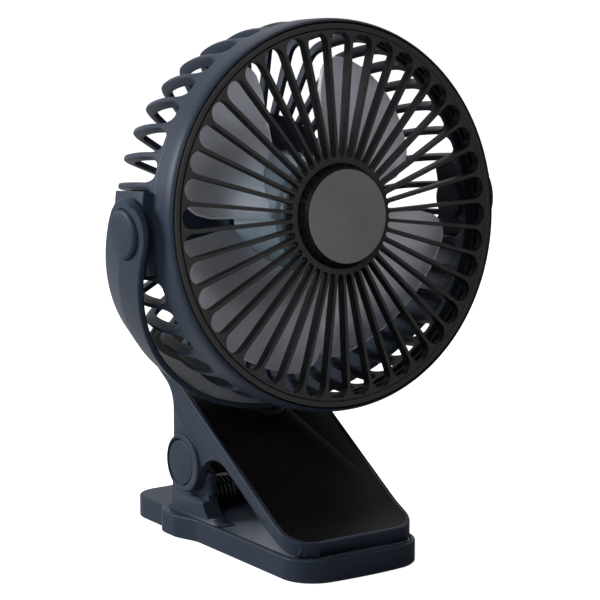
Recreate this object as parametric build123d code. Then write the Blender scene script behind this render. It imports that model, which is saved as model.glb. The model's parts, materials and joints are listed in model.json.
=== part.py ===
"""Clip fan: a round fan head in a swivelling yoke, carried by a sprung two-jaw clip.

Frame: X to the right, Y to the back, Z up. The origin is at the middle of the lower
jaw's underside. All sizes are in millimetres.
"""
import os
from math import asin, atan2, cos, pi, radians, sin, sqrt, tan

from build123d import *

# ------------------------------------------------------------------ clearances
running_gap = 0.3       # between pieces that move on each other
seat_gap = 0.1          # between pieces that are fitted to each other
press_gap = 0.03        # between a shaft and the hub pressed on it
slide_gap = 0.05        # between pieces that only just slide
beyond = 400.0          # longer than the whole fan, for cutters that run right through
overrun = 1.0           # how far a short cutter passes a face
same_place = 0.01       # points nearer than this are taken as one

# ------------------------------------------------------------------ lower jaw
jaw_length = 124.0      # front edge to rear thumb tab
jaw_half_width = 29.0   # half width along the clamping part
jaw_height = 9.2        # underside of the foot to the top rim
jaw_bulge = 3.5         # how far each side swells out beside the hinge
jaw_corner_r = 14.0     # front corners in plan
swell_start = 24.0      # the swell starts this far ahead of the step
swell_full = 14.0       # and is full this far ahead of it
step_run = 5.5          # length over which the swell steps in to the tab
swell_start_r = 12.0    # roundings in plan along the swell and the step
swell_full_r = 9.0
step_outer_r = 6.0
step_inner_r = 3.0
tab_corner_r = 10.0
tab_half_width = 28.5   # half width of the rear thumb tab
tab_length = 26.0       # from the step beside the hinge to the rear edge
jaw_front_sweep = 2.5   # how far the front edge bows forward
jaw_rim = 1.8           # rim left round the inset top plate
jaw_edge = 0.8          # rounding of the jaw's edges
jaw_low_chamfer = 0.5   # chamfer round its underside
foot_proud = 0.3        # how far the foot stands below the jaw
foot_thickness = 1.2
foot_inset = 6.0
top_plate_thickness = 1.6
top_plate_drop = 0.3    # the plate lies this much below the rim
tongue_gap = 1.0        # between the plate's tongue and the ears
plate_foot_gap = 1.0    # between the plate's full width and the feet of the ears
plate_screw_back = 5.6  # from the end of the tongue to its screw
screw_floor = 1.5       # plastic under the plate's screw hole

# ------------------------------------------------------------------ hinge of the clip
hinge_y = 22.0
hinge_z = 30.0
hinge_pin_r = 2.0
hinge_cap_r = 8.9
hinge_cap_proud = 1.4
hinge_cap_seat = 0.9    # depth of the cap's pocket in the wall
hinge_cap_groove = 0.35 # open ring round the cap
hinge_cap_round = 0.7
hinge_boss_r = 11.4
hinge_boss_lead = 1.4   # the boss is centred this much ahead of the pin
hinge_boss_proud = 1.3
hinge_boss_round = 0.65
ear_thickness = 4.0
ear_r = 8.0
ear_lead = 13.4         # front edge of the ear ahead of the pin
ear_trail = 9.0         # rear edge behind the pin
ear_shoulder = 4.0      # the front edge ends this far below the pin
ear_front_foot_r = 10.0
ear_rear_foot_r = 8.0
foot_inset_x = 0.5      # the ear's thick foot stands this much inside the arm's outer face
foot_rear_r = 4.0
bridge_length = 5.0     # wall that joins the ears behind the hinge
bridge_height = 17.0
bridge_lead = 1.0       # the wall starts this much ahead of the ears' rear edge

# ------------------------------------------------------------------ upper jaw
lever_half_width = 28.5
lever_wall = 3.0        # side walls
lever_plate = 3.0       # slanted plate
lever_skirt = 5.3       # depth of the edge along the clamping part
lever_slope = 31.9      # slant of the plate in degrees
lever_line_y = 18.6     # a point on the slanted top face
lever_line_z = 57.3
lever_knee_y = -38.0    # where the plate starts to flatten towards its tip
nose_radius = 64.6      # bend of the flattening tip
tip_y = -56.5
thumb_end_y = 54.0
tip_overrun = 4.0       # the slab is drawn past the tip, and the plan trims it
heel_overrun = 20.0     # and past the thumb end
lever_corner_r = 11.0
lever_edge = 0.8        # rounding round the top of the slab
tip_solid = 24.0        # length of the tip that is not hollow underneath
wall_front = 34.6       # front end of a side wall, ahead of the pin
wall_rear = 20.0        # rear end of a side wall, behind the pin
wall_lap = 0.4          # how far under the panel's pocket the wall is rooted
arm_front = 9.7         # the arm's front edge ahead of the boss's middle, square to the edge
arm_slope = 52.2        # slant of that edge
arm_rear = 6.4          # its rear edge behind the pin
arch_r = 13.0           # round top of the opening beside the spring
heel_r = 12.0           # hollow curve from the arm up to the thumb plate
inlay_thickness = 1.2
inlay_inset = 1.7
inlay_drop = 0.3
grip_pad_length = 14.0
grip_pad_thickness = 1.5
grip_pad_margin = 3.0   # from the tip and the sides to the pad
grip_pad_seat = 0.5     # depth of the pad's pocket

# ------------------------------------------------------------------ torsion spring
wire_d = 1.2
coil_r = 6.1            # to the middle of the wire
coil_y = 21.0
coil_z = 16.4
coil_ear_gap = 0.4      # between a coil and the ear beside it
coil_length = 12.0      # from the first turn to the last
coil_turns = 6
spring_bend_r = 2.6     # bend between an upper leg and the bridge
stub_r = 4.4            # stubs of the ears that the coils sit on
arbor_r = 1.8
arbor_cover = 1.5       # plastic left over the ends of the arbor
lower_leg_y = 5.0       # where a lower leg meets the lower jaw
upper_leg_y = 33.0      # where the bridge meets the slanted plate
leg_gap = 0.15          # between a leg and what it bears on

# ------------------------------------------------------------------ yoke
yoke_lean = 22.5        # the yoke's plane leans back by this many degrees
yoke_gap = 3.7          # between the head's ring and the yoke
yoke_edge_thickness = 2.4
yoke_crown = 1.3        # extra thickness along the middle crease
yoke_half_width = 12.8
yoke_inner_chamfer = 0.6
yoke_outer_chamfer = 0.9
yoke_cap_r = 9.0
yoke_cap_proud = 1.5
yoke_cap_pocket = 1.2
yoke_cap_round = 1.1
yoke_cap_wall = 1.2     # wall of the hollow cap
yoke_cap_floor = 1.0

# ------------------------------------------------------------------ swivel under the yoke
swivel_y = 10.6         # where the swivel axis meets the slanted face
pedestal_r = 8.0
pedestal_rise = 3.8     # height of the pedestal above the slanted face
collar_wall = 1.6       # collar of the dark panel round the pedestal
collar_root = 3.5       # length of the collar below the slanted face, before it is trimmed
swivel_pad_drop = 0.7   # the yoke's pad stands this much below its crown
swivel_post_r = 4.0
swivel_floor = 1.7
swivel_recess_r = 7.6
swivel_pad_root = 0.5   # how deep the pad reaches into the yoke
swivel_washer_thickness = 0.6
swivel_screw_head = 1.2

# ------------------------------------------------------------------ fan head
head_tilt = 6.0         # upward tilt of the head as it stands
face_z = 21.0           # face of the front ring ahead of the tilt axis
ring_r = 72.5
bezel_width = 2.4
bezel_depth = 1.8
bezel_edge = 0.5
band_depth = 13.0
band_wall = 2.2
ledge_width = 3.6       # ledge inside the band that carries the grille
ledge_thickness = 1.6
ledge_root = 0.2
grille_rim_depth = 5.0
grille_depth = 4.0
grille_edge = 0.5
grille_flange = 1.8     # width of the flange that rests on the ledge
grille_land = 0.5       # flat land between the slots and the dome's foot
slot_count = 40
slot_rim_margin = 2.4   # from the slots to the edge of the grille
slot_outer_r = 4.2
slot_inner_centre = 22.6
slot_inner_r = 1.15
grille_hub_r = 19.85
grille_dome = 1.3       # how far the hub ring stands ahead of the rim
hub_cap_r = 17.6
hub_cap_foot_r = 19.2
hub_cap_height = 4.2
hub_cap_edge = 0.6
hub_cap_seat = 2.0      # depth of the cap's seat in the grille
hub_cap_notches = 24
notch_r = 0.9
notch_out = 0.5         # the notches are centred this far outside the foot
notch_low = 0.8         # their lower end above the grille
notch_high = 1.4        # and their upper end below the disc
cage_lip_depth = 4.0
cage_lip_step = 0.3     # the lip stands this much inside the band
cage_inset = 0.9        # the cage lies this much inside the ring
cage_rib_count = 44
cage_rib_width = 2.3
cage_rib_depth = 3.2
cage_rib_root = 1.0     # how deep the ribs reach into the lip and the hub cup
cage_side_depth = 25.0  # straight part of the ribs behind the lip
cage_taper = 3.4        # how much the cage narrows along that part
cage_shoulder_r = 10.0
cage_dome = 3.0
rear_hub_r = 24.0
rear_hub_depth = 17.0
rear_hub_wall = 2.0
rear_hub_web = 3.0      # between the shaft and the hole in the cup's floor
pivot_pad_angle = 26.0
pivot_boss_r = 7.5
pivot_spigot_r = 4.0
pivot_boss_root = 2.2   # how deep the boss reaches into the cage's side
spigot_bore = 9.0       # depth of the screw hole in the spigot

# ------------------------------------------------------------------ impeller and motor
blade_count = 4
blade_tip_gap = 3.0     # between the blades and the narrow end of the cage
blade_span = 78.0       # degrees of turn that one blade covers
blade_thickness = 1.6
blade_corner = 13.0
blade_phase = -3.5      # turn of the blade's leading edge
blade_cuts = 12         # stretches that the loft of a blade is made of
blade_front_depth = 12.5
blade_rear_depth = 37.0
impeller_hub_r = 21.5
impeller_hub_length = 28.0
impeller_face_depth = 7.0
impeller_wall = 1.8
impeller_boss_r = 4.0
shaft_r = 1.0
shaft_tail = 1.0        # how far the shaft's end stands clear of the cup's floor
motor_r = 12.0
motor_length = 20.0
motor_edge = 1.2
motor_bearing_r = 3.0
motor_bearing_proud = 1.0
motor_spigot = 1.5      # spigot of the motor in the floor of the cup
hub_boss_gap = 0.6      # between the motor and the boss of the impeller
impeller_edge = 2.0
blade_root_share = 0.6  # share of the hub's wall that a blade's root reaches into
blade_tip_share = 0.6   # thickness at a blade's tip as a share of that at its root

# ------------------------------------------------------------------ controls on the back
button_r = 6.0
button_travel = 0.8
button_proud = 1.2
button_above = 8.0      # above the middle of the rear cover
usb_width = 9.0
usb_height = 3.4
usb_below = 9.0
lamp_r = 1.2
lamp_below = 1.6
cover_thickness = 2.0
cover_edge = 0.5
cover_skirt = 1.4       # wall of the skirt under the cover
button_edge = 0.5
button_flange = 0.8     # thickness of the flange that keeps the button in
button_flange_step = 1.0
button_gap = 0.2        # between the pressed button and its switch
switch_height = 1.4
switch_size = 6.0
usb_wall = 0.35
usb_fit = 0.2           # the socket is this much smaller than its opening
usb_set_back = 0.6      # the socket starts this far behind the cover's face
usb_floor = 0.8
usb_round = 0.45        # corner radius as a share of the height
usb_tongue = 5.2
usb_tongue_thickness = 0.7
board_thickness = 1.2
chip_size = 6.0
chip_height = 0.8
chip_at = 9.0           # from the middle of the board to a chip
chip_below = 1.0
battery_side_gap = 1.5  # from the square corners of the cell to the hub cup
battery_corner_r = 2.0
battery_gap = 0.4       # between the cell and the parts on the board

# ------------------------------------------------------------------ fasteners
screw_r = 1.3
screw_head_r = 2.6
screw_head_height = 0.9
washer_thickness = 0.5
plate_screw_head_r = 1.6
plate_screw_head_height = 0.8
plate_screw_tip_gap = 0.5
cross_length = 1.8      # cross recess of a screw head
cross_width = 0.4
cross_depth = 0.5

os.makedirs("parts", exist_ok=True)
pieces = {}

# ------------------------------------------------------------------ frames
slope = tan(radians(lever_slope))


def lever_top(y, depth=0.0):
    """Height of the slanted face, or of a face this deep below it, behind the knee."""
    return lever_line_z + (y - lever_line_y) * slope - depth / cos(radians(lever_slope))


yoke_inner_r = ring_r + yoke_gap
yoke_outer_r = yoke_inner_r + yoke_edge_thickness
yoke_crown_r = yoke_outer_r + yoke_crown
swivel_reach = yoke_crown_r + swivel_pad_drop + running_gap + pedestal_rise
pivot_y = swivel_y - swivel_reach * sin(radians(yoke_lean))
pivot_z = lever_top(swivel_y) + swivel_reach * cos(radians(yoke_lean))
head_frame = Location((0, pivot_y, pivot_z), (90 - head_tilt, 0, 0))
yoke_frame = Location((0, pivot_y, pivot_z), (yoke_lean, 0, 0))


def column(radius, low, high):
    """Upright cylinder between two heights."""
    return Pos(0, 0, low) * Cylinder(radius, high - low, align=(Align.CENTER, Align.CENTER, Align.MIN))


def tube(outer, inner, low, high):
    """Upright tube between two heights."""
    return column(outer, low, high) - column(inner, low, high)


def rod_x(radius, left, right, y=0.0, z=0.0):
    """Cylinder along X between two places."""
    return Pos(left, y, z) * Rot(0, 90, 0) * column(radius, 0, right - left)


def block(x0, x1, y0, y1, z0, z1):
    """Box between two corners."""
    return Pos((x0 + x1) / 2, (y0 + y1) / 2, (z0 + z1) / 2) * Box(x1 - x0, y1 - y0, z1 - z0)


def profile_x(points, left, right):
    """Outline drawn in Y and Z, carried from one X to another."""
    face = make_face(Polyline(*[(0, y, z) for y, z in points], close=True))
    return Pos(left, 0, 0) * extrude(face, right - left, dir=(1, 0, 0))


def turned(points):
    """Solid of revolution about Z from an outline of radius and height."""
    face = make_face(Polyline(*[(r, 0, z) for r, z in points], close=True))
    return revolve(face, Axis.Z, 360)


def both_sides(shape):
    """The shape and its mirror image across the middle plane."""
    return [shape, mirror(shape, Plane.YZ)]


def save(name, shape):
    """Keep a piece and write its file."""
    pieces[name] = shape
    export_step(shape, f"parts/{name}.step")


# ================================================================== lower jaw
jaw_front_y = -jaw_length / 2
jaw_rear_y = jaw_length / 2
step_y = jaw_rear_y - tab_length
ear_outer_x = lever_half_width - lever_wall - running_gap
ear_inner_x = ear_outer_x - ear_thickness
arbor_half = ear_outer_x - arbor_cover
coil_outer_x = ear_inner_x - coil_ear_gap - wire_d / 2
coil_inner_x = coil_outer_x - coil_length
stub_length = ear_inner_x - coil_inner_x
ear_front_y = hinge_y - ear_lead
ear_rear_y = hinge_y + ear_trail
tongue_rear_y = ear_rear_y - bridge_lead
plate_screw_y = tongue_rear_y - plate_screw_back
ear_foot_top = hinge_z - hinge_boss_r - hinge_boss_lead - running_gap
plate_low_z = jaw_height - top_plate_drop - top_plate_thickness
plate_top_z = jaw_height - top_plate_drop


def jaw_outline(inset=0.0):
    """Plan of the lower jaw, drawn inset from its edge."""
    side = jaw_half_width
    wide = jaw_half_width + jaw_bulge
    corner_y = jaw_front_y + jaw_front_sweep
    front = ThreePointArc((-side, corner_y), (0, jaw_front_y), (side, corner_y))
    swell_y = step_y - swell_start
    full_y = step_y - swell_full
    step_in_y = step_y + step_run / 4
    step_out_y = step_in_y - step_run
    right = [
        (side, corner_y),
        (side, swell_y),
        (wide, full_y),
        (wide, step_out_y),
        (tab_half_width, step_in_y),
        (tab_half_width, jaw_rear_y),
    ]
    left = [(-x, y) for x, y in reversed(right)]
    plan = make_face(front + Polyline(*right, *left))
    rounding = [jaw_corner_r, swell_start_r, swell_full_r, step_outer_r, step_inner_r, tab_corner_r]
    radii = dict(zip(right, rounding))
    for (x, y), radius in radii.items():
        near = [v for v in plan.vertices() if abs(abs(v.X) - x) + abs(v.Y - y) < same_place]
        plan = fillet(near, radius)
    if inset:
        plan = offset(plan, -inset)
    return plan


def foot_round(edge_y, radius, side, width):
    """Hollow corner where an edge of the ear runs out onto the jaw."""
    far_y = edge_y + side * radius
    corner = block(0, width, min(edge_y, far_y), max(edge_y, far_y), jaw_height, jaw_height + radius)
    return corner - rod_x(radius, -overrun, width + overrun, far_y, jaw_height + radius)


def ear_foot():
    """Thick foot of an ear, under the arm of the upper jaw and nearly flush with it."""
    width = lever_half_width - foot_inset_x - ear_inner_x
    body = block(0, width, ear_front_y, ear_rear_y, plate_low_z, ear_foot_top)
    body += foot_round(ear_front_y, ear_front_foot_r, -1, width)
    body += foot_round(ear_rear_y, foot_rear_r, 1, width)
    return body & block(0, width, -beyond, beyond, 0, ear_foot_top)


def ear():
    """Hinge ear on the right, standing on the jaw with hollow feet, with the stub for a coil."""
    foot_z = plate_low_z
    outline = [
        (ear_front_y, foot_z),
        (ear_front_y, hinge_z - ear_shoulder),
        (hinge_y - ear_r, hinge_z),
        (hinge_y + ear_r, hinge_z),
        (ear_rear_y, hinge_z - ear_shoulder),
        (ear_rear_y, foot_z),
    ]
    body = profile_x(outline, 0, ear_thickness) + rod_x(ear_r, 0, ear_thickness, hinge_y, hinge_z)
    body += foot_round(ear_front_y, ear_front_foot_r, -1, ear_thickness)
    body += foot_round(ear_rear_y, ear_rear_foot_r, 1, ear_thickness)
    body += ear_foot()
    body += rod_x(stub_r, -stub_length, ear_thickness / 2, coil_y, coil_z)
    return Pos(ear_inner_x, 0, 0) * body


def plate_outline(inset):
    """Plan of the inset top plate: full width ahead of the ears, narrow between them."""
    plan = jaw_outline(inset)
    wide_rear_y = ear_front_y - ear_front_foot_r - plate_foot_gap
    keep = Pos(0, (wide_rear_y - beyond) / 2) * Rectangle(beyond, wide_rear_y + beyond)
    tongue = Pos(0, (wide_rear_y + tongue_rear_y) / 2) * Rectangle(
        2 * (ear_inner_x - tongue_gap), tongue_rear_y - wide_rear_y)
    return plan & (keep + tongue)


def lower_jaw():
    """Moulded lower jaw with its ears, top pocket and foot pocket."""
    body = extrude(Pos(0, 0, foot_proud) * jaw_outline(), jaw_height - foot_proud)
    body = fillet(body.faces().sort_by(Axis.Z)[-1].edges(), jaw_edge)
    body = chamfer(body.faces().sort_by(Axis.Z)[0].edges(), jaw_low_chamfer)
    body -= extrude(Pos(0, 0, plate_low_z) * plate_outline(jaw_rim), jaw_height)
    body -= extrude(jaw_outline(foot_inset), foot_thickness)
    for side in both_sides(ear()):
        body += side
    body += block(-ear_outer_x, ear_outer_x, tongue_rear_y, tongue_rear_y + bridge_length,
                  plate_low_z, jaw_height + bridge_height)
    body -= rod_x(hinge_pin_r + running_gap, -lever_half_width, lever_half_width, hinge_y, hinge_z)
    body -= rod_x(arbor_r + seat_gap, -arbor_half, arbor_half, coil_y, coil_z)
    body -= Pos(0, plate_screw_y, 0) * column(screw_r + seat_gap, foot_thickness + screw_floor, jaw_height)
    return body


def top_plate():
    """Smooth grey plate let into the lower jaw."""
    plate = extrude(Pos(0, 0, plate_low_z) * plate_outline(jaw_rim + seat_gap), top_plate_thickness)
    plate -= Pos(0, plate_screw_y, 0) * column(plate_screw_head_r + seat_gap, plate_low_z, jaw_height)
    return plate


def plate_screw():
    """Screw that holds the top plate's tongue down."""
    top = plate_low_z + plate_screw_head_height
    head = column(plate_screw_head_r, plate_low_z, top)
    shank = column(screw_r, foot_thickness + screw_floor + plate_screw_tip_gap, plate_low_z)
    cross = Box(cross_length, cross_width, 2 * cross_depth) + Box(cross_width, cross_length, 2 * cross_depth)
    cross = Pos(0, 0, top) * cross
    return Pos(0, plate_screw_y, 0) * (head + shank - cross)


save("lower_jaw", lower_jaw())
save("lower_jaw_plate", top_plate())
save("plate_screw", plate_screw())
save("foot_pad", extrude(jaw_outline(foot_inset + seat_gap), foot_thickness - seat_gap))

# ================================================================== upper jaw


def lever_upper_line(depth, rear_y):
    """Upper face as a line and a flattening arc, from the rear to the tip."""
    angle = radians(lever_slope)
    knee = (lever_knee_y + depth * sin(angle), lever_top(lever_knee_y) - depth * cos(angle))
    centre = (lever_knee_y - nose_radius * sin(angle), lever_top(lever_knee_y) + nose_radius * cos(angle))
    radius = nose_radius + depth
    tip_angle = asin(sin(angle) - (lever_knee_y - tip_y + tip_overrun) / nose_radius)
    end = (centre[0] + radius * sin(tip_angle), centre[1] - radius * cos(tip_angle))
    middle_angle = (angle + tip_angle) / 2
    middle = (centre[0] + radius * sin(middle_angle), centre[1] - radius * cos(middle_angle))
    rear = (rear_y, lever_top(rear_y, depth))
    return rear, knee, middle, end


def lever_band(upper, lower, rear_y, half_width):
    """Slab between two depths below the slanted face, from the rear to the tip."""
    a_rear, a_knee, a_middle, a_end = lever_upper_line(upper, rear_y)
    b_rear, b_knee, b_middle, b_end = lever_upper_line(lower, rear_y)
    outline = [
        Line((0, *a_rear), (0, *a_knee)),
        ThreePointArc((0, *a_knee), (0, *a_middle), (0, *a_end)),
        Line((0, *a_end), (0, *b_end)),
        ThreePointArc((0, *b_end), (0, *b_middle), (0, *b_knee)),
        Line((0, *b_knee), (0, *b_rear)),
        Line((0, *b_rear), (0, *a_rear)),
    ]
    face = make_face(Wire(outline))
    return Pos(-half_width, 0, 0) * extrude(face, 2 * half_width, dir=(1, 0, 0))


def lever_plan(inset=0.0):
    """Plan of the upper jaw with its rounded corners, as a tall column."""
    length = thumb_end_y - tip_y - 2 * inset
    width = 2 * (lever_half_width - inset)
    middle = (thumb_end_y + tip_y) / 2
    return extrude(Pos(0, middle) * RectangleRounded(width, length, lever_corner_r - inset), beyond)


def top_rim(slab):
    """Edges round the top of the slab: those that only one of its upper faces has."""
    angle = radians(lever_slope)
    outward = Vector(0, -sin(angle), cos(angle))
    tops = [face for face in slab.faces() if face.normal_at().dot(outward) > cos(angle)]
    edges = [edge for face in tops for edge in face.edges()]
    middles = [edge.center() for edge in edges]
    return [edge for edge, middle in zip(edges, middles)
            if sum((middle - other).length < same_place for other in middles) == 1]


def side_wall():
    """Right side wall with its hinge boss: an arch over the spring, a hollow curve up to the thumb plate."""
    boss_y = hinge_y - hinge_boss_lead
    lean = radians(arm_slope)
    foot = (boss_y - arm_front * sin(lean), hinge_z - arm_front * cos(lean))
    skirt_rise = lever_top(0, lever_skirt)
    arch_y = (foot[1] + foot[0] * tan(lean) - skirt_rise) / (slope + tan(lean))
    front_y = hinge_y - wall_front
    rear_y = hinge_y + wall_rear
    arm_rear_y = hinge_y + arm_rear
    wall_top = inlay_drop + inlay_thickness + wall_lap
    arch_corner = (0, arch_y, lever_top(arch_y, lever_skirt))
    heel_corner = (0, arm_rear_y, lever_top(arm_rear_y, lever_skirt))
    outline = make_face(Polyline(
        (0, boss_y, hinge_z),
        (0, *foot),
        arch_corner,
        (0, front_y, lever_top(front_y, lever_skirt)),
        (0, front_y, lever_top(front_y, wall_top)),
        (0, rear_y, lever_top(rear_y, wall_top)),
        (0, rear_y, lever_top(rear_y, lever_skirt)),
        heel_corner,
        (0, arm_rear_y, hinge_z),
        close=True,
    ))
    for corner, radius in ((arch_corner, arch_r), (heel_corner, heel_r)):
        outline = fillet(outline.vertices().sort_by_distance(corner)[0], radius)
    inner_x = lever_half_width - lever_wall
    wall = Pos(inner_x, 0, 0) * extrude(outline, lever_wall, dir=(1, 0, 0))
    boss = rod_x(hinge_boss_r, inner_x, lever_half_width + hinge_boss_proud, boss_y, hinge_z)
    rim = boss.faces().sort_by(Axis.X)[-1].edges()
    return wall + fillet(rim, hinge_boss_round)


pedestal_top = -(swivel_reach - pedestal_rise)
recess_floor = pedestal_top + running_gap + swivel_floor
swivel_screw_low = pedestal_top - pedestal_rise


def pedestal():
    """Round seat for the yoke, square to the swivel axis, standing on the plate."""
    seat = column(pedestal_r, pedestal_top - pedestal_rise - lever_plate, pedestal_top)
    post = column(swivel_post_r, pedestal_top, recess_floor + running_gap)
    hole = column(screw_r, swivel_screw_low, 0)
    return yoke_frame * (seat + post - hole)


def upper_jaw():
    """Moulded upper jaw: slanted plate, side walls, hinge bosses and swivel pedestal."""
    rear_y = thumb_end_y + heel_overrun
    body = lever_band(0, lever_skirt, rear_y, lever_half_width) & lever_plan()
    body -= block(-beyond, beyond, -beyond, 0, -beyond, jaw_height + running_gap)
    body = fillet(top_rim(body), lever_edge)
    hollow = lever_band(lever_plate, lever_skirt + overrun, rear_y, lever_half_width - lever_wall)
    hollow &= lever_plan(lever_wall)
    body -= hollow & block(-beyond, beyond, tip_y + tip_solid, beyond, 0, beyond)
    pocket = lever_band(-overrun, inlay_thickness + inlay_drop, rear_y, lever_half_width)
    body -= pocket & lever_plan(inlay_inset)
    for wall in both_sides(side_wall()):
        body += wall
    body += pedestal()
    cap_seat = lever_half_width - hinge_cap_seat
    for cut in both_sides(rod_x(hinge_cap_r + hinge_cap_groove, cap_seat, beyond, hinge_y, hinge_z)):
        body -= cut
    body -= rod_x(hinge_pin_r + seat_gap / 2, -beyond, beyond, hinge_y, hinge_z)
    pad_seat = lever_band(lever_skirt - grip_pad_seat, lever_skirt + overrun, thumb_end_y,
                          lever_half_width - grip_pad_margin)
    near_y = tip_y + grip_pad_margin
    body -= pad_seat & block(-beyond, beyond, near_y, near_y + grip_pad_length, 0, beyond)
    return body


def inlay():
    """Glossy dark panel let into the top of the upper jaw."""
    collar_r = pedestal_r + seat_gap + collar_wall
    rear_y = thumb_end_y + heel_overrun
    panel = lever_band(inlay_drop, inlay_drop + inlay_thickness, rear_y, lever_half_width)
    panel &= lever_plan(inlay_inset + seat_gap)
    low = pedestal_top - pedestal_rise - collar_root
    deeper = inlay_drop + inlay_thickness + 3 * collar_root
    below = lever_band(inlay_drop + inlay_thickness, deeper, rear_y, lever_half_width)
    panel += yoke_frame * column(collar_r, low, pedestal_top) - below
    return panel - yoke_frame * column(pedestal_r + seat_gap, low - overrun, pedestal_top + overrun)


def grip_pad():
    """Soft pad under the tip of the upper jaw."""
    pad = lever_band(lever_skirt - grip_pad_seat, lever_skirt - grip_pad_seat + grip_pad_thickness,
                     thumb_end_y, lever_half_width - grip_pad_margin - seat_gap)
    near_y = tip_y + grip_pad_margin + seat_gap
    pad &= block(-beyond, beyond, near_y, near_y + grip_pad_length - 2 * seat_gap,
                 plate_top_z + running_gap, beyond)
    return pad


def hinge_caps():
    """Round caps over the ends of the hinge pin."""
    inner = lever_half_width - hinge_cap_seat
    outer = lever_half_width + hinge_cap_proud
    cap = rod_x(hinge_cap_r, inner, outer, hinge_y, hinge_z)
    cap = fillet(cap.faces().sort_by(Axis.X)[-1].edges(), hinge_cap_round)
    return Compound(both_sides(cap))


hinge_pin_half = lever_half_width - hinge_cap_seat - seat_gap
save("upper_jaw", upper_jaw())
save("upper_jaw_panel", inlay())
save("upper_jaw_pad", grip_pad())
save("hinge_caps", hinge_caps())
save("hinge_pin", rod_x(hinge_pin_r, -hinge_pin_half, hinge_pin_half, hinge_y, hinge_z))
save("spring_arbor", rod_x(arbor_r, -arbor_half, arbor_half, coil_y, coil_z))

# ================================================================== torsion spring


def tangent_angle(y, z, side):
    """Angle on the coil from which a straight leg runs to a point off it."""
    away = atan2(z - coil_z, y - coil_y)
    return away + side * (pi / 2 - atan2(coil_r, sqrt((y - coil_y) ** 2 + (z - coil_z) ** 2 - coil_r ** 2)))


def coil_point(angle, x):
    """Point on the middle of the coiled wire."""
    return Vector(x, coil_y + coil_r * cos(angle), coil_z + coil_r * sin(angle))


def biarc(start, start_dir, end, end_dir):
    """Two arcs that leave one point and reach another in the given directions."""
    gap = end - start
    both = start_dir + end_dir
    a = 4 - both.dot(both)
    b = 2 * gap.dot(both)
    reach = (-b + sqrt(b * b + 4 * a * gap.dot(gap))) / (2 * a)
    first = start + start_dir * reach
    second = end - end_dir * reach
    joint = (first + second) * 0.5
    return [TangentArc(start, joint, tangent=start_dir),
            TangentArc(joint, end, tangent=(second - first).normalized())]


def spring_side():
    """Path of the left half of the spring, from the bend of its bridge to the end of its lower leg."""
    lower = (lower_leg_y, jaw_height + wire_d / 2 + leg_gap)
    upper_z = lever_top(upper_leg_y, lever_plate + wire_d / 2 + leg_gap)
    upper = (upper_leg_y, upper_z)
    leave = tangent_angle(*lower, 1)
    enter = tangent_angle(*upper, -1)
    turn = enter - leave
    while turn < 2 * pi * coil_turns:
        turn += 2 * pi
    steps = round(turn / (pi / 2))
    rise = -(coil_outer_x - coil_inner_x) / turn
    marks = [enter - turn * i / steps for i in range(steps + 1)]
    spots = [coil_point(m, (enter - m) * rise - coil_inner_x) for m in marks]
    ways = [Vector(rise, coil_r * sin(m), -coil_r * cos(m)).normalized() for m in marks]
    ways[0] = Vector(0, sin(marks[0]), -cos(marks[0]))
    ways[-1] = Vector(0, sin(marks[-1]), -cos(marks[-1]))
    corner = Vector(-coil_inner_x, *upper)
    leg_start = corner + ways[0] * spring_bend_r
    path = [TangentArc(corner + Vector(spring_bend_r, 0, 0), leg_start, tangent=(-1, 0, 0))]
    path.append(Line(leg_start, spots[0]))
    for i in range(steps):
        path += biarc(spots[i], ways[i], spots[i + 1], ways[i + 1])
    path.append(Line(spots[-1], (-coil_outer_x, *lower)))
    pitch = abs(rise) * 2 * pi
    print(f"spring: two coils of {turn / (2 * pi):.2f} turns, gap between turns {pitch - wire_d:.2f} mm")
    return path


def torsion_spring():
    """Double torsion spring: two coils, a bridge on the upper jaw and two legs on the lower, in one wire."""
    left = spring_side()
    right = [mirror(part, Plane.YZ).edge() for part in reversed(left)]
    bend = left[0] @ 0
    bridge = Line((-bend.X, bend.Y, bend.Z), bend)
    wire = Wire([*right, bridge, *left])
    profile = Plane(origin=wire @ 0, z_dir=wire % 0) * Circle(wire_d / 2)
    return sweep(profile, path=wire), wire


spring, spring_path = torsion_spring()
save("torsion_spring", spring)


def least_self_gap(wire, spacing=0.6):
    """Least gap between stretches of the wire that are not neighbours along it."""
    count = int(wire.length / spacing)
    spots = [wire @ (i / count) for i in range(count + 1)]
    skip = int(2.2 * wire_d / spacing) + 2
    least = 1e9
    for i, a in enumerate(spots):
        for b in spots[i + skip:]:
            if abs(b.X - a.X) < 2 * wire_d:
                least = min(least, (b - a).length)
    return least - wire_d


print(f"spring: least gap to itself {least_self_gap(spring_path):.2f} mm")

# ================================================================== yoke
pocket_floor_r = yoke_crown_r - yoke_cap_pocket


def yoke_section():
    """Cut through the yoke's band: flat inside, a low ridge outside."""
    half = yoke_half_width
    inner = yoke_inner_chamfer
    outer = yoke_outer_chamfer
    return make_face(Polyline(
        (yoke_inner_r, -half + inner, 0),
        (yoke_inner_r + inner, -half, 0),
        (yoke_outer_r - outer, -half, 0),
        (yoke_outer_r, -half + outer, 0),
        (yoke_crown_r, 0, 0),
        (yoke_outer_r, half - outer, 0),
        (yoke_outer_r - outer, half, 0),
        (yoke_inner_r + inner, half, 0),
        (yoke_inner_r, half - inner, 0),
        close=True,
    ))


def yoke_arm_end():
    """Rounded end of one arm, above the pivot."""
    arm = extrude(yoke_section(), yoke_half_width, dir=(0, 0, 1))
    return arm & rod_x(yoke_half_width, 0, beyond)


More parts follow.
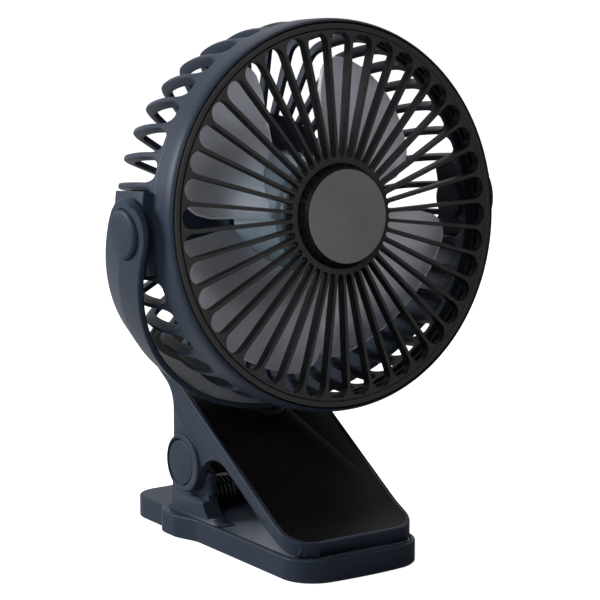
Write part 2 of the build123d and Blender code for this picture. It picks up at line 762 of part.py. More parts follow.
def yoke():
    """Half-round yoke with its arms, swivel pad and pockets, in its own frame."""
    body = revolve(yoke_section(), Axis.Y, 180)
    for arm in both_sides(yoke_arm_end()):
        body += arm
    pad_low = pedestal_top + running_gap
    body += column(pedestal_r + collar_wall, pad_low, -yoke_inner_r - swivel_pad_root)
    body -= column(swivel_recess_r, recess_floor, 0)
    body -= column(swivel_post_r + running_gap, pad_low - overrun, 0)
    pocket = rod_x(yoke_cap_r + running_gap, pocket_floor_r, beyond)
    spigot_hole = rod_x(pivot_spigot_r + running_gap, 0, beyond)
    for cut in both_sides(pocket + spigot_hole):
        body -= cut
    return yoke_frame * body


def yoke_caps():
    """Puffed round caps over the tilt pivots."""
    outer = yoke_crown_r + yoke_cap_proud
    cap = rod_x(yoke_cap_r, pocket_floor_r, outer)
    cap = fillet(cap.faces().sort_by(Axis.X)[-1].edges(), yoke_cap_round)
    cap -= rod_x(yoke_cap_r - yoke_cap_wall, pocket_floor_r, outer - yoke_cap_floor)
    return yoke_frame * Compound(both_sides(cap))


washer_r = yoke_cap_r - yoke_cap_wall - 2 * running_gap


def pivot_washers():
    """Friction washers between the pivot screws and the yoke's arms."""
    inner = pocket_floor_r + running_gap / 2
    washer = rod_x(washer_r, inner, inner + washer_thickness)
    washer -= rod_x(screw_r + seat_gap, inner - overrun, inner + 2 * overrun)
    return Compound(both_sides(washer))


def pivot_screws():
    """Screws along the tilt axis that hold the head between the arms."""
    seat = pocket_floor_r + running_gap / 2 + washer_thickness
    screw = rod_x(screw_head_r, seat, seat + screw_head_height) + rod_x(screw_r, seat - spigot_bore, seat)
    return Compound(both_sides(screw))


save("yoke", yoke())
save("yoke_caps", yoke_caps())
save("pivot_washers", Pos(0, pivot_y, pivot_z) * pivot_washers())
save("pivot_screws", Pos(0, pivot_y, pivot_z) * pivot_screws())

washer_low = recess_floor + running_gap


def swivel_washer():
    """Spring washer that loads the swivel."""
    high = washer_low + swivel_washer_thickness
    ring = tube(swivel_recess_r - running_gap, screw_r + seat_gap, washer_low, high)
    return yoke_frame * ring


def swivel_screw():
    """Screw that holds the yoke down on its pedestal."""
    seat = washer_low + swivel_washer_thickness
    screw = column(screw_head_r, seat, seat + swivel_screw_head) + column(screw_r, swivel_screw_low, seat)
    return yoke_frame * screw


save("swivel_washer", swivel_washer())
save("swivel_screw", swivel_screw())

# ================================================================== fan head
grille_r = ring_r - bezel_width - running_gap
band_front_z = face_z - bezel_depth
band_rear_z = face_z - band_depth
lip_rear_z = band_rear_z - cage_lip_depth
ledge_z = face_z - grille_rim_depth
grille_hub_top = face_z + grille_dome
slot_outer_centre = grille_r - slot_rim_margin - slot_outer_r


def bezel_ring():
    """Matte trim ring round the face."""
    ring = tube(ring_r, ring_r - bezel_width, band_front_z, face_z)
    front = ring.faces().sort_by(Axis.Z)[-1].edges()
    return chamfer(front, bezel_edge)


def front_band():
    """Smooth band round the head, with the ledge that carries the grille."""
    ring = tube(ring_r, ring_r - band_wall, band_rear_z + seat_gap, band_front_z)
    inner_r = ring_r - band_wall
    ledge = tube(inner_r + ledge_root, inner_r - ledge_width, ledge_z - ledge_thickness, ledge_z)
    return ring + ledge


def slot():
    """One teardrop slot of the front grille, pointing to the right."""
    wide = Pos(slot_outer_centre, 0) * Circle(slot_outer_r)
    narrow = Pos(slot_inner_centre, 0) * Circle(slot_inner_r)
    return extrude(Pos(0, 0, -beyond) * make_hull((wide + narrow).edges()), 2 * beyond)


def front_grille():
    """Slightly domed face with narrow ribs between teardrop slots."""
    hub_inner = hub_cap_foot_r + seat_gap
    rim_inner = slot_outer_centre + slot_outer_r + grille_land
    seat_z = grille_hub_top - hub_cap_seat
    disc = turned([
        (0, grille_hub_top - grille_depth),
        (grille_hub_r, grille_hub_top - grille_depth),
        (rim_inner, face_z - grille_depth),
        (grille_r - grille_flange, ledge_z),
        (grille_r, ledge_z),
        (grille_r, face_z - grille_edge),
        (grille_r - grille_edge, face_z),
        (rim_inner, face_z),
        (grille_hub_r, grille_hub_top),
        (hub_inner, grille_hub_top),
        (hub_inner, seat_z),
        (0, seat_z),
    ])
    cutter = slot()
    step = 360 / slot_count
    cutters = [Rot(0, 0, step * (i + 0.5)) * cutter for i in range(slot_count)]
    return disc.cut(*cutters)


def hub_cap():
    """Plain round cap in the middle of the grille, with grip notches round its foot."""
    low = grille_hub_top - hub_cap_seat
    high = grille_hub_top + hub_cap_height
    edge = hub_cap_edge
    cap = turned([
        (0, low),
        (hub_cap_foot_r, low),
        (hub_cap_foot_r, grille_hub_top + edge),
        (hub_cap_r, high - edge),
        (hub_cap_r - edge, high),
        (0, high),
    ])
    notch = column(notch_r, grille_hub_top + notch_low, high - notch_high)
    notch = Pos(hub_cap_foot_r + notch_out, 0, 0) * notch
    step = 360 / hub_cap_notches
    return cap.cut(*[Rot(0, 0, step * i) * notch for i in range(hub_cap_notches)])


def rib_outline(inner=False):
    """Points of a cage rib's outer or inner edge, as radius and height."""
    depth = cage_rib_depth if inner else 0.0
    lip_r = ring_r - cage_inset - depth
    side_r = ring_r - cage_inset - cage_taper - depth
    shoulder_z = lip_rear_z - cage_side_depth
    radius = cage_shoulder_r - depth
    centre = (ring_r - cage_inset - cage_taper - cage_shoulder_r, shoulder_z)
    back_z = shoulder_z - cage_shoulder_r + depth
    middle = (centre[0] + radius * cos(radians(45)), centre[1] - radius * sin(radians(45)))
    hub = (rear_hub_r - cage_rib_root, back_z - cage_dome)
    return (lip_r, lip_rear_z + cage_rib_root), (side_r, shoulder_z), middle, (centre[0], back_z), hub


def rib_face():
    """Side view of one cage rib."""
    a = [(r, 0, z) for r, z in rib_outline()]
    b = [(r, 0, z) for r, z in rib_outline(inner=True)]
    return make_face(Wire([
        Line(a[0], a[1]),
        ThreePointArc(a[1], a[2], a[3]),
        Line(a[3], a[4]),
        Line(a[4], b[4]),
        Line(b[4], b[3]),
        ThreePointArc(b[3], b[2], b[1]),
        Line(b[1], b[0]),
        Line(b[0], a[0]),
    ]))


rear_face_z = rib_outline()[4][1]
hub_floor_z = rear_face_z + rear_hub_depth
motor_spigot_r = shaft_r + rear_hub_web


def rear_cage():
    """Rear cage: lip, hooked ribs, pivot pads and bosses, and the hub cup."""
    lip = tube(ring_r - cage_lip_step, ring_r - cage_inset - cage_rib_depth, lip_rear_z, band_rear_z)
    cup = tube(rear_hub_r, rear_hub_r - rear_hub_wall, rear_face_z, hub_floor_z)
    cup += tube(rear_hub_r, motor_spigot_r, hub_floor_z - rear_hub_wall, hub_floor_z)
    rib = extrude(rib_face(), cage_rib_width / 2, both=True)
    step = 360 / cage_rib_count
    ribs = [Rot(0, 0, step * (i + 0.5)) * rib for i in range(cage_rib_count)]
    pad = revolve(rib_face(), Axis.Z, pivot_pad_angle)
    pad &= Pos(0, 0, lip_rear_z - cage_side_depth / 2) * Box(beyond, beyond, cage_side_depth + 2 * overrun)
    pads = [Rot(0, 0, turn - pivot_pad_angle / 2) * pad for turn in (0, 180)]
    body = lip.fuse(cup, *ribs, *pads)
    boss_end = sqrt(yoke_inner_r ** 2 - pivot_boss_r ** 2) - running_gap
    spigot_end = pocket_floor_r + running_gap / 2
    boss_root = ring_r - cage_inset - cage_taper - pivot_boss_root
    boss = rod_x(pivot_boss_r, boss_root, boss_end) + rod_x(pivot_spigot_r, boss_root, spigot_end)
    for side in both_sides(boss):
        body += side
    for bore in both_sides(rod_x(screw_r, spigot_end - spigot_bore, spigot_end)):
        body -= bore
    return body


def on_back(shape, up):
    """Put a shape drawn round the origin at a height on the rear cover."""
    return Pos(0, up, 0) * shape


def rear_cover():
    """Round cover over the hub cup, with holes for the button, lamp and inlet."""
    cover_r = rear_hub_r - rear_hub_wall - seat_gap
    cover = column(cover_r, rear_face_z, rear_face_z + cover_thickness)
    cover += tube(cover_r, cover_r - cover_skirt, rear_face_z, board_low)
    rim = cover.faces().sort_by(Axis.Z)[0].edges()
    cover = fillet(rim, cover_edge)
    cover -= on_back(column(button_r + running_gap, rear_face_z - overrun, board_low), button_above)
    cover -= on_back(column(lamp_r + slide_gap, rear_face_z - overrun, board_low), -lamp_below)
    cover -= on_back(slot_tube(0, rear_face_z - overrun, board_low), -usb_below)
    return cover


def slot_tube(smaller, low, high):
    """Column with the rounded outline of the inlet, or one this much smaller."""
    outline = Rectangle(usb_width - smaller, usb_height - smaller)
    outline = fillet(outline.vertices(), (usb_height - smaller) * usb_round)
    return extrude(Pos(0, 0, low) * outline, high - low)


def power_button():
    """Round push button with a flange that keeps it in the cover."""
    low = rear_face_z - button_proud
    flange_low = rear_face_z + cover_thickness + slide_gap
    stem = column(button_r, low, flange_low + button_flange)
    stem = fillet(stem.faces().sort_by(Axis.Z)[0].edges(), button_edge)
    flange = column(button_r + button_flange_step, flange_low, flange_low + button_flange)
    return on_back(stem + flange, button_above)


button_reach = rear_face_z + cover_thickness + slide_gap + button_flange + button_travel
board_low = button_reach + switch_height
board_high = board_low + board_thickness
board_r = rear_hub_r - rear_hub_wall - running_gap


def circuit_board():
    """Round board with the push switch and a few components."""
    board = column(board_r, board_low, board_high)
    half = switch_size / 2
    board += on_back(block(-half, half, -half, half, button_reach + button_gap, board_low), button_above)
    chip = Pos(chip_at, -chip_below, board_high + chip_height / 2) * Box(chip_size, chip_size, chip_height)
    for side in both_sides(chip):
        board += side
    return board


def usb_inlet():
    """Metal socket behind the inlet opening."""
    low = rear_face_z + usb_set_back
    floor = board_low - usb_floor
    body = slot_tube(usb_fit, low, board_low) - slot_tube(usb_fit + 2 * usb_wall, low, floor)
    half = usb_tongue / 2
    thick = usb_tongue_thickness / 2
    return on_back(body + block(-half, half, -thick, thick, low + usb_set_back, floor), -usb_below)


def status_lamp():
    """Small clear light pipe beside the button."""
    return on_back(column(lamp_r, rear_face_z, board_low), -lamp_below)


battery_low = board_high + chip_height + battery_gap
battery_size = sqrt(2) * (rear_hub_r - rear_hub_wall - battery_side_gap)


def battery():
    """Flat rechargeable cell behind the motor wall."""
    high = hub_floor_z - rear_hub_wall - running_gap
    half = battery_size / 2
    cell = block(-half, half, -half, half, battery_low, high)
    return fillet(cell.edges().filter_by(Axis.Z), battery_corner_r)


motor_low = hub_floor_z
motor_high = motor_low + motor_length


def motor_body():
    """Small motor standing on the hub cup."""
    can = column(motor_r, motor_low, motor_high)
    can = fillet(can.faces().sort_by(Axis.Z)[-1].edges(), motor_edge)
    can += column(motor_bearing_r, motor_high - overrun, motor_high + motor_bearing_proud)
    can += column(motor_spigot_r - seat_gap, motor_low - motor_spigot, motor_low)
    return can - column(shaft_r + running_gap, -beyond, beyond)


hub_front_z = face_z - impeller_face_depth
hub_rear_z = hub_front_z - impeller_hub_length
blade_tip_r = ring_r - cage_inset - cage_rib_depth - cage_taper - blade_tip_gap


def motor_shaft():
    """Shaft from the motor into the impeller."""
    return column(shaft_r, motor_low + shaft_tail, hub_front_z - impeller_wall)


def blade_section(share):
    """Cut along the radius through a blade, at a share of its span."""
    angle = blade_phase - blade_span * share
    height = face_z - blade_front_depth - (blade_rear_depth - blade_front_depth) * share
    along = min(share, 1 - share) * radians(blade_span) * blade_tip_r
    drop = max(0.0, blade_corner - along)
    tip = blade_tip_r - blade_corner + sqrt(blade_corner ** 2 - drop ** 2)
    root = impeller_hub_r - impeller_wall * blade_root_share
    half = blade_thickness / 2
    thin = half * blade_tip_share
    face = make_face(Polyline((root, 0, height - half), (tip, 0, height - thin),
                              (tip, 0, height + thin), (root, 0, height + half), close=True))
    return Rot(0, 0, angle) * face


def impeller():
    """Four broad pitched blades on a deep hub."""
    shares = [(1 - cos(pi * i / blade_cuts)) / 2 for i in range(blade_cuts + 1)]
    blade = loft([blade_section(share) for share in shares], ruled=True)
    hub = column(impeller_hub_r, hub_rear_z, hub_front_z)
    hub = fillet(hub.faces().sort_by(Axis.Z)[-1].edges(), impeller_edge)
    hub -= column(impeller_hub_r - impeller_wall, hub_rear_z, hub_front_z - impeller_wall)
    boss_low = motor_high + motor_bearing_proud + hub_boss_gap
    hub += column(impeller_boss_r, boss_low, hub_front_z - impeller_wall)
    hub -= column(shaft_r + press_gap, hub_rear_z, hub_front_z - impeller_wall)
    blades = [Rot(0, 0, 360 / blade_count * i) * blade for i in range(blade_count)]
    body = hub.fuse(*blades)
    return body - column(impeller_hub_r - impeller_wall, -beyond, motor_high)


def head_piece(name, shape):
    """Turn a piece of the head from its own frame into place, and save it."""
    save(name, head_frame * shape)


head_piece("bezel_ring", bezel_ring())
head_piece("front_band", front_band())
head_piece("front_grille", front_grille())
head_piece("hub_cap", hub_cap())
head_piece("rear_cage", rear_cage())
head_piece("rear_cover", rear_cover())
head_piece("power_button", power_button())
head_piece("circuit_board", circuit_board())
head_piece("usb_inlet", usb_inlet())
head_piece("status_lamp", status_lamp())
head_piece("battery", battery())
head_piece("motor_body", motor_body())
head_piece("motor_shaft", motor_shaft())
head_piece("impeller", impeller())
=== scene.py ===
"""Clip fan: the finished surfaces of a round fan on a sprung clip, and a plain studio round it."""
import json
from math import acos, asin, atan2, copysign, cos, hypot, pi, radians, sin, sqrt

import bpy
from mathutils import Matrix, Vector


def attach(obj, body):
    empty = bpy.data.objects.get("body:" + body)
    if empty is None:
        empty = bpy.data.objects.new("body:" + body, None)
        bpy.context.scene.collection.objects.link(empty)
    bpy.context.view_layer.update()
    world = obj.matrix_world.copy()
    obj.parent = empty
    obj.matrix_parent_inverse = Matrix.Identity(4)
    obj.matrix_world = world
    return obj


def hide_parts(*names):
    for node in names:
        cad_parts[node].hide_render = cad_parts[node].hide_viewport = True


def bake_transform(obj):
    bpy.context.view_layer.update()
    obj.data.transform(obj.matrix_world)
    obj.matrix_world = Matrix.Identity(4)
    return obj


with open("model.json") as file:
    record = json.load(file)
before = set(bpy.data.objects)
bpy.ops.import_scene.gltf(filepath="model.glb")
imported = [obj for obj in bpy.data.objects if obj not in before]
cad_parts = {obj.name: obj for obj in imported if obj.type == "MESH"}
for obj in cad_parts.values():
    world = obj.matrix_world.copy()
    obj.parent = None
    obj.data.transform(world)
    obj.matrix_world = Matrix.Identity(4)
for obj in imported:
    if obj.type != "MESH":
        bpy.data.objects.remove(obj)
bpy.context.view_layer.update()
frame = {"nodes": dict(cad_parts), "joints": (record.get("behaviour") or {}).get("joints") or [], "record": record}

bl_info = {
    "name": "Clip fan",
    "version": (1, 1, 0),
    "blender": (4, 5, 0),
    "location": "View3D > Sidebar > Clip fan",
    "description": "Builds the pieces and finishes of a clip fan round its packed solids",
    "category": "Object",
}

MM = 0.001


# ------------------------------------------------------------------ places and sizes read from the frame
JOINTS = {joint["name"]: joint for joint in frame["joints"]}
PIVOT = Vector(JOINTS["head_tilt"]["pos_m"])
HINGE = Vector(JOINTS["jaw_open"]["pos_m"])
AHEAD = Vector(JOINTS["impeller_spin"]["axis"]).normalized()
SWIVEL = Vector(JOINTS["yoke_swivel"]["axis"]).normalized()


def axes_frame(along, at):
    """Matrix from a drawing whose Z runs along a direction, with X to the right."""
    right = Vector((1, 0, 0))
    up = along.cross(right)
    rows = Matrix((right, up, along)).transposed().to_4x4()
    return Matrix.Translation(at) @ rows


def extent(node, place=Matrix.Identity(4)):
    """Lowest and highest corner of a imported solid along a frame's own axes, in millimetres."""
    back = place.inverted()
    spots = [back @ vertex.co for vertex in frame["nodes"][node].data.vertices]
    low = Vector([min(spot[axis] for spot in spots) / MM for axis in range(3)])
    high = Vector([max(spot[axis] for spot in spots) / MM for axis in range(3)])
    return low, high


HEAD = axes_frame(AHEAD, PIVOT)
YOKE = axes_frame(SWIVEL, PIVOT)
FACE_RIGHT = Matrix.Rotation(radians(90), 4, "Y")
FACE_LEFT = Matrix.Rotation(radians(-90), 4, "Y")
RING_LOW, RING_HIGH = extent("bezel_ring", HEAD)
BAND_LOW, BAND_HIGH = extent("front_band", HEAD)
GRILLE_HIGH = extent("front_grille", HEAD)[1]
CAP_LOW, CAP_HIGH = extent("hub_cap", HEAD)
BLADES_HIGH = extent("impeller", HEAD)[1]
CAGE_LOW, CAGE_HIGH = extent("rear_cage", HEAD)
YOKE_LOW, YOKE_HIGH = extent("yoke", YOKE)
YOKE_CAP_HIGH = extent("yoke_caps", YOKE)[1]
HINGE_CAP_HIGH = extent("hinge_caps")[1]
HINGE_CAP_PLACE = Matrix.Translation(HINGE)


# ------------------------------------------------------------------ what a user may change
def length(name, description, size):
    """Size property with a default in millimetres."""
    return bpy.props.FloatProperty(name=name, description=description, default=size * MM,
                                   min=0.0, precision=5, unit="LENGTH")


def linear(code):
    """Linear colour from a hex sRGB code."""
    parts = [int(code[i:i + 2], 16) / 255 for i in (1, 3, 5)]
    return tuple(c / 12.92 if c <= 0.04045 else ((c + 0.055) / 1.055) ** 2.4 for c in parts) + (1.0,)


def shade(name, description, code):
    """Colour property with a default from a hex sRGB code."""
    return bpy.props.FloatVectorProperty(name=name, description=description, default=linear(code),
                                         size=4, min=0.0, max=1.0, subtype="COLOR")


class ClipFanHeadSizes(bpy.types.PropertyGroup):
    """Sizes of the modelled pieces of the head."""
    slot_count: bpy.props.IntProperty(name="Slots", description="Teardrop slots round the grille", default=40)
    slot_outer_r: length("Slot end", "Radius of the wide end of a slot", 4.2)
    slot_inner_r: length("Slot tip", "Radius of the narrow end of a slot", 1.15)
    slot_tip_at: length("Slot tip distance", "From the middle of the face to the narrow end's middle", 22.6)
    slot_wide_at: length("Slot end distance", "From the middle of the face to the wide end's middle", 63.2)
    slot_rim: length("Slot rim", "From the wide ends to the edge of the grille", 0.7)
    grille_edge: length("Grille edge", "Rounding of the grille's edges", 0.22)
    trim_gap: length("Trim gap", "Thin gap between the grille and the trim ring", 0.25)
    trim_width: length("Trim width", "Width of the trim ring", 2.1)
    band_gap: length("Band gap", "Dark gap between the trim ring and the band", 0.65)
    seam: length("Seam", "How far ahead of the cage's edge the band meets the cage's lip", 1.2)
    band_swell: length("Band swell", "Length over which the band swells to its full radius", 4.5)
    hub_r: length("Impeller hub", "Radius of the front of the impeller's hub", 21.5)
    hub_flare: length("Hub flare", "How much wider the hub is at its rear", 2.3)
    blade_thickness: length("Blade thickness", "Thickness of an impeller blade", 1.5)
    blade_corner: length("Blade corner", "Rounding of the corners at a blade's tip", 13.0)


class ClipFanCageSizes(bpy.types.PropertyGroup):
    """Sizes of the rear cage."""
    rib_count: bpy.props.IntProperty(name="Ribs", description="Hooked ribs round the cage", default=40)
    rib_width: length("Rib width", "Width of a rib", 2.4)
    rib_depth: length("Rib depth", "Depth of a rib", 4.4)
    rib_flare: length("Rib flare", "How much a rib widens to each side where it grows out of the lip", 4.3)
    flare_length: length("Flare length", "Length over which a rib widens", 7.0)
    dome_r: length("Dome", "Radius of the round side of the cage, about the tilt pivots", 72.2)
    dome_back: length("Dome end", "How far behind the pivots the round side ends", 23.0)
    shoulder_r: length("Shoulder", "Radius of the hooks", 9.0)
    hub_r: length("Hub cup", "Radius of the cup in the middle of the back", 24.0)
    disc_r: length("Back disc", "Radius of the closed disc in the middle of the back", 38.0)
    disc_thickness: length("Disc thickness", "Thickness of the back disc", 2.6)
    pad_turn: bpy.props.FloatProperty(name="Pivot pad", description="Turn that a pivot pad covers",
                                      default=radians(23), subtype="ANGLE")
    pad_depth: length("Pad depth", "How far a pivot pad reaches back from the lip", 20.0)


class ClipFanClipSizes(bpy.types.PropertyGroup):
    """Sizes of the modelled pieces of the yoke and clip."""
    yoke_gap: length("Yoke gap", "Between the head's band and the yoke", 3.7)
    yoke_width: length("Yoke width", "Width of the yoke's band", 25.6)
    yoke_edge: length("Yoke edge", "Rounding of the yoke's edges", 0.8)
    yoke_crown: length("Yoke crown", "How far the crease stands above the yoke's edges", 1.3)


class ClipFanColours(bpy.types.PropertyGroup):
    """Base colours of the finishes."""
    slate: shade("Slate", "Satin plastic of the band, yoke, cage and jaws", "#212833")
    warm: shade("Warm grey", "Matte plastic of the grille and trim ring", "#363535")
    disc: shade("Disc", "Fine matte face of the hub cap", "#6e6c6b")
    # near-black: painted shade in the grille's slots and the band's gap and ledge, also used for the hub cap's
    # side and the button
    black: shade("Black", "Smooth black walls of the slots and the cap", "#0a0a0c")
    panel: shade("Panel", "Gloss panel of the upper jaw", "#0a0a0d")
    # lighter than the slate: a painted reflection of the bright surroundings on the jaw's top
    plate: shade("Plate", "Smooth plate of the lower jaw", "#3a424e")
    blade: shade("Blade", "Smoke plastic of the blades", "#dcdee6")
    # paler edge colour: a painted highlight on the blades' edges
    blade_edge: shade("Blade edge", "Edges of the blades, where light leaves them", "#f0f1f4")
    hub: shade("Hub", "Gloss plastic of the impeller's hub", "#4f5f69")


# ------------------------------------------------------------------ modelling helpers
SQUARENESS = 0.55       # of a bar's section: 1 is round, near 0 is square
SAME_POINT = 0.001      # mm between points of one outline that count as one
SAME_SEAM = 0.002       # mm between points along a seam that count as one


def deselect_all():
    """Leave edit mode and select nothing."""
    if bpy.context.object and bpy.context.object.mode != "OBJECT":
        bpy.ops.object.mode_set(mode="OBJECT")
    bpy.ops.object.select_all(action="DESELECT")


def select_only(*pieces):
    """Select these pieces, the first one active."""
    deselect_all()
    for piece in pieces:
        piece.select_set(True)
    bpy.context.view_layer.objects.active = pieces[0]


def turned(name, outline, steps=160, closed=True):
    """Solid of revolution about Z from an outline of (radius, height) in millimetres."""
    deselect_all()
    bpy.ops.mesh.primitive_plane_add(size=MM)
    piece = bpy.context.object
    piece.name = name
    bpy.ops.object.mode_set(mode="EDIT")
    bpy.ops.mesh.merge(type="CENTER")
    bpy.ops.transform.translate(value=(outline[0][0] * MM, 0, outline[0][1] * MM))
    path = outline + outline[:1] if closed else outline
    for (r0, z0), (r1, z1) in zip(path, path[1:]):
        move = ((r1 - r0) * MM, 0, (z1 - z0) * MM)
        bpy.ops.mesh.extrude_vertices_move(TRANSFORM_OT_translate={"value": move})
    bpy.ops.mesh.select_all(action="SELECT")
    bpy.ops.mesh.spin(steps=steps, angle=2 * pi, center=(0, 0, 0), axis=(0, 0, 1))
    bpy.ops.mesh.select_all(action="SELECT")
    bpy.ops.mesh.remove_doubles(threshold=SAME_POINT * MM)
    bpy.ops.mesh.normals_make_consistent(inside=False)
    bpy.ops.object.mode_set(mode="OBJECT")
    return piece


def flat_plate(name, loops, thickness, edge):
    """Flat plate from closed outlines in millimetres, with rounded edges, its face at Z 0."""
    curve = bpy.data.curves.new(name, "CURVE")
    curve.dimensions = "2D"
    curve.fill_mode = "BOTH"
    curve.extrude = (thickness / 2 - edge) * MM
    curve.bevel_depth = edge * MM
    curve.bevel_resolution = 1
    curve.offset = -edge * MM
    for loop in loops:
        spline = curve.splines.new("POLY")
        spline.points.add(len(loop) - 1)
        for point, (x, y) in zip(spline.points, loop):
            point.co = (x * MM, y * MM, 0, 1)
        spline.use_cyclic_u = True
    piece = bpy.data.objects.new(name, curve)
    bpy.context.scene.collection.objects.link(piece)
    select_only(piece)
    bpy.ops.object.convert(target="MESH")
    piece = bpy.context.object
    bpy.ops.object.mode_set(mode="EDIT")
    bpy.ops.mesh.select_all(action="SELECT")
    bpy.ops.mesh.remove_doubles(threshold=SAME_POINT * MM)
    bpy.ops.transform.translate(value=(0, 0, -thickness / 2 * MM))
    bpy.ops.object.mode_set(mode="OBJECT")
    return piece


def arc(radius, start, end, count, x=0.0, y=0.0):
    """Points of an arc, in millimetres and degrees."""
    turns = [radians(start + (end - start) * i / count) for i in range(count + 1)]
    return [(x + radius * cos(turn), y + radius * sin(turn)) for turn in turns]


def shaped_grid(name, count_u, count_v, place):
    """Grid whose points are moved to place(u, v), with u and v from 0 to 1 and the place in millimetres."""
    deselect_all()
    bpy.ops.mesh.primitive_grid_add(x_subdivisions=count_u, y_subdivisions=count_v, size=1)
    piece = bpy.context.object
    piece.name = name
    for vertex in piece.data.vertices:
        vertex.co = Vector(place(vertex.co.x + 0.5, vertex.co.y + 0.5)) * MM
    return piece


def closed_up(piece):
    """Merge the seams of a mesh, close its ends and turn its faces outwards."""
    select_only(piece)
    bpy.ops.object.mode_set(mode="EDIT")
    bpy.ops.mesh.select_all(action="SELECT")
    bpy.ops.mesh.remove_doubles(threshold=SAME_SEAM * MM)
    bpy.ops.mesh.select_all(action="DESELECT")
    bpy.ops.mesh.select_non_manifold(extend=False)
    bpy.ops.mesh.fill_holes(sides=0)
    bpy.ops.mesh.select_all(action="SELECT")
    bpy.ops.mesh.normals_make_consistent(inside=False)
    bpy.ops.object.mode_set(mode="OBJECT")
    return piece


def rounded_bar(name, stations, around=12):
    """Closed bar with a rounded square section through stations of (middle, half width, half depth)."""
    last = len(stations) - 1

    def place(u, v):
        middle, width, depth = stations[round(v * last)]
        turn = 2 * pi * u
        across = copysign(abs(cos(turn)) ** SQUARENESS, cos(turn))
        out = copysign(abs(sin(turn)) ** SQUARENESS, sin(turn))
        return middle + width * across + depth * out

    return closed_up(shaped_grid(name, around, last, place))


def repeated(piece, count, axis="Z"):
    """The piece and its copies, evenly turned about an axis of the drawing."""
    pieces = [piece]
    for i in range(1, count):
        twin = bpy.data.objects.new(f"{piece.name}_{i}", piece.data.copy())
        bpy.context.scene.collection.objects.link(twin)
        twin.matrix_world = Matrix.Rotation(2 * pi * i / count, 4, axis) @ piece.matrix_world
        pieces.append(twin)
    return pieces


def cut_away(piece, *cutters):
    """Take closed shapes out of a piece, and delete them."""
    for cutter in cutters:
        hollow = piece.modifiers.new("hollow", "BOOLEAN")
        hollow.operation = "DIFFERENCE"
        hollow.solver = "EXACT"
        hollow.object = cutter
        apply_modifiers(piece)
        bpy.data.objects.remove(cutter)
    return piece


def round_edges(piece, width, segments=3, angle=30.0):
    """Round the edges as a mould leaves them; the width is in millimetres."""
    bevel = piece.modifiers.new("edge", "BEVEL")
    bevel.width = width * MM
    bevel.segments = segments
    bevel.limit_method = "ANGLE"
    bevel.angle_limit = radians(angle)
    bevel.use_clamp_overlap = False
    return piece


def copy_of_solid(node, name):
    """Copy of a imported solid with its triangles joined, so that its curves can be shaded smooth."""
    source = frame["nodes"][node]
    piece = bpy.data.objects.new(name, source.data.copy())
    bpy.context.scene.collection.objects.link(piece)
    select_only(piece)
    bpy.ops.object.mode_set(mode="EDIT")
    bpy.ops.mesh.select_all(action="SELECT")
    bpy.ops.mesh.remove_doubles(threshold=SAME_SEAM * MM)
    bpy.ops.object.mode_set(mode="OBJECT")
    return piece


def paint_faces(piece, materials, choose):
    """Give each face one of the materials; choose takes a face's middle and normal and returns which."""
    piece.data.materials.clear()
    for material in materials:
        piece.data.materials.append(material)
    for face in piece.data.polygons:
        face.material_index = choose(face.center / MM, face.normal)


def apply_modifiers(piece):
    """Make a piece's modifiers part of its mesh."""
    select_only(piece)
    for modifier in list(piece.modifiers):
        bpy.ops.object.modifier_apply(modifier=modifier.name)


def finished(piece, body, material=None, replaced=(), smooth=35.0, place=None):
    """Bake a piece's place into its mesh and shade it; it rides on its body, if one is given."""
    apply_modifiers(piece)
    if material is not None:
        piece.data.materials.clear()
        piece.data.materials.append(material)
    if place is not None:
        piece.matrix_world = place @ piece.matrix_world
    bpy.ops.object.transform_apply(location=True, rotation=True, scale=True)
    bpy.ops.object.shade_smooth_by_angle(angle=radians(smooth))
    weigh = piece.modifiers.new("weigh", "WEIGHTED_NORMAL")
    weigh.keep_sharp = True
    bpy.ops.object.modifier_apply(modifier=weigh.name)
    if body:
        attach(piece, body)
    if replaced:
        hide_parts(*replaced)
    return piece


def joined(name, pieces):
    """Several meshes as one piece."""
    select_only(*pieces)
    bpy.ops.object.join()
    piece = bpy.context.object
    piece.name = name
    return piece


# ------------------------------------------------------------------ finishes
def add_node(tree, kind, settings=None, links=None):
    """Add one node, give it its settings and join its inputs."""
    node = tree.nodes.new(kind)
    for key, value in (settings or {}).items():
        if isinstance(key, str) and hasattr(node, key):
            setattr(node, key, value)
        else:
            node.inputs[key].default_value = value
    for socket, source in (links or {}).items():
        tree.links.new(source, node.inputs[socket])
    return node


def scaled(colour, factor):
    """A lighter or darker version of a linear colour."""
    return tuple(min(1.0, part * factor) for part in colour[:3]) + (1.0,)


CLOUD_SIZE = 22.0       # mm across the soft clouds in a moulded colour


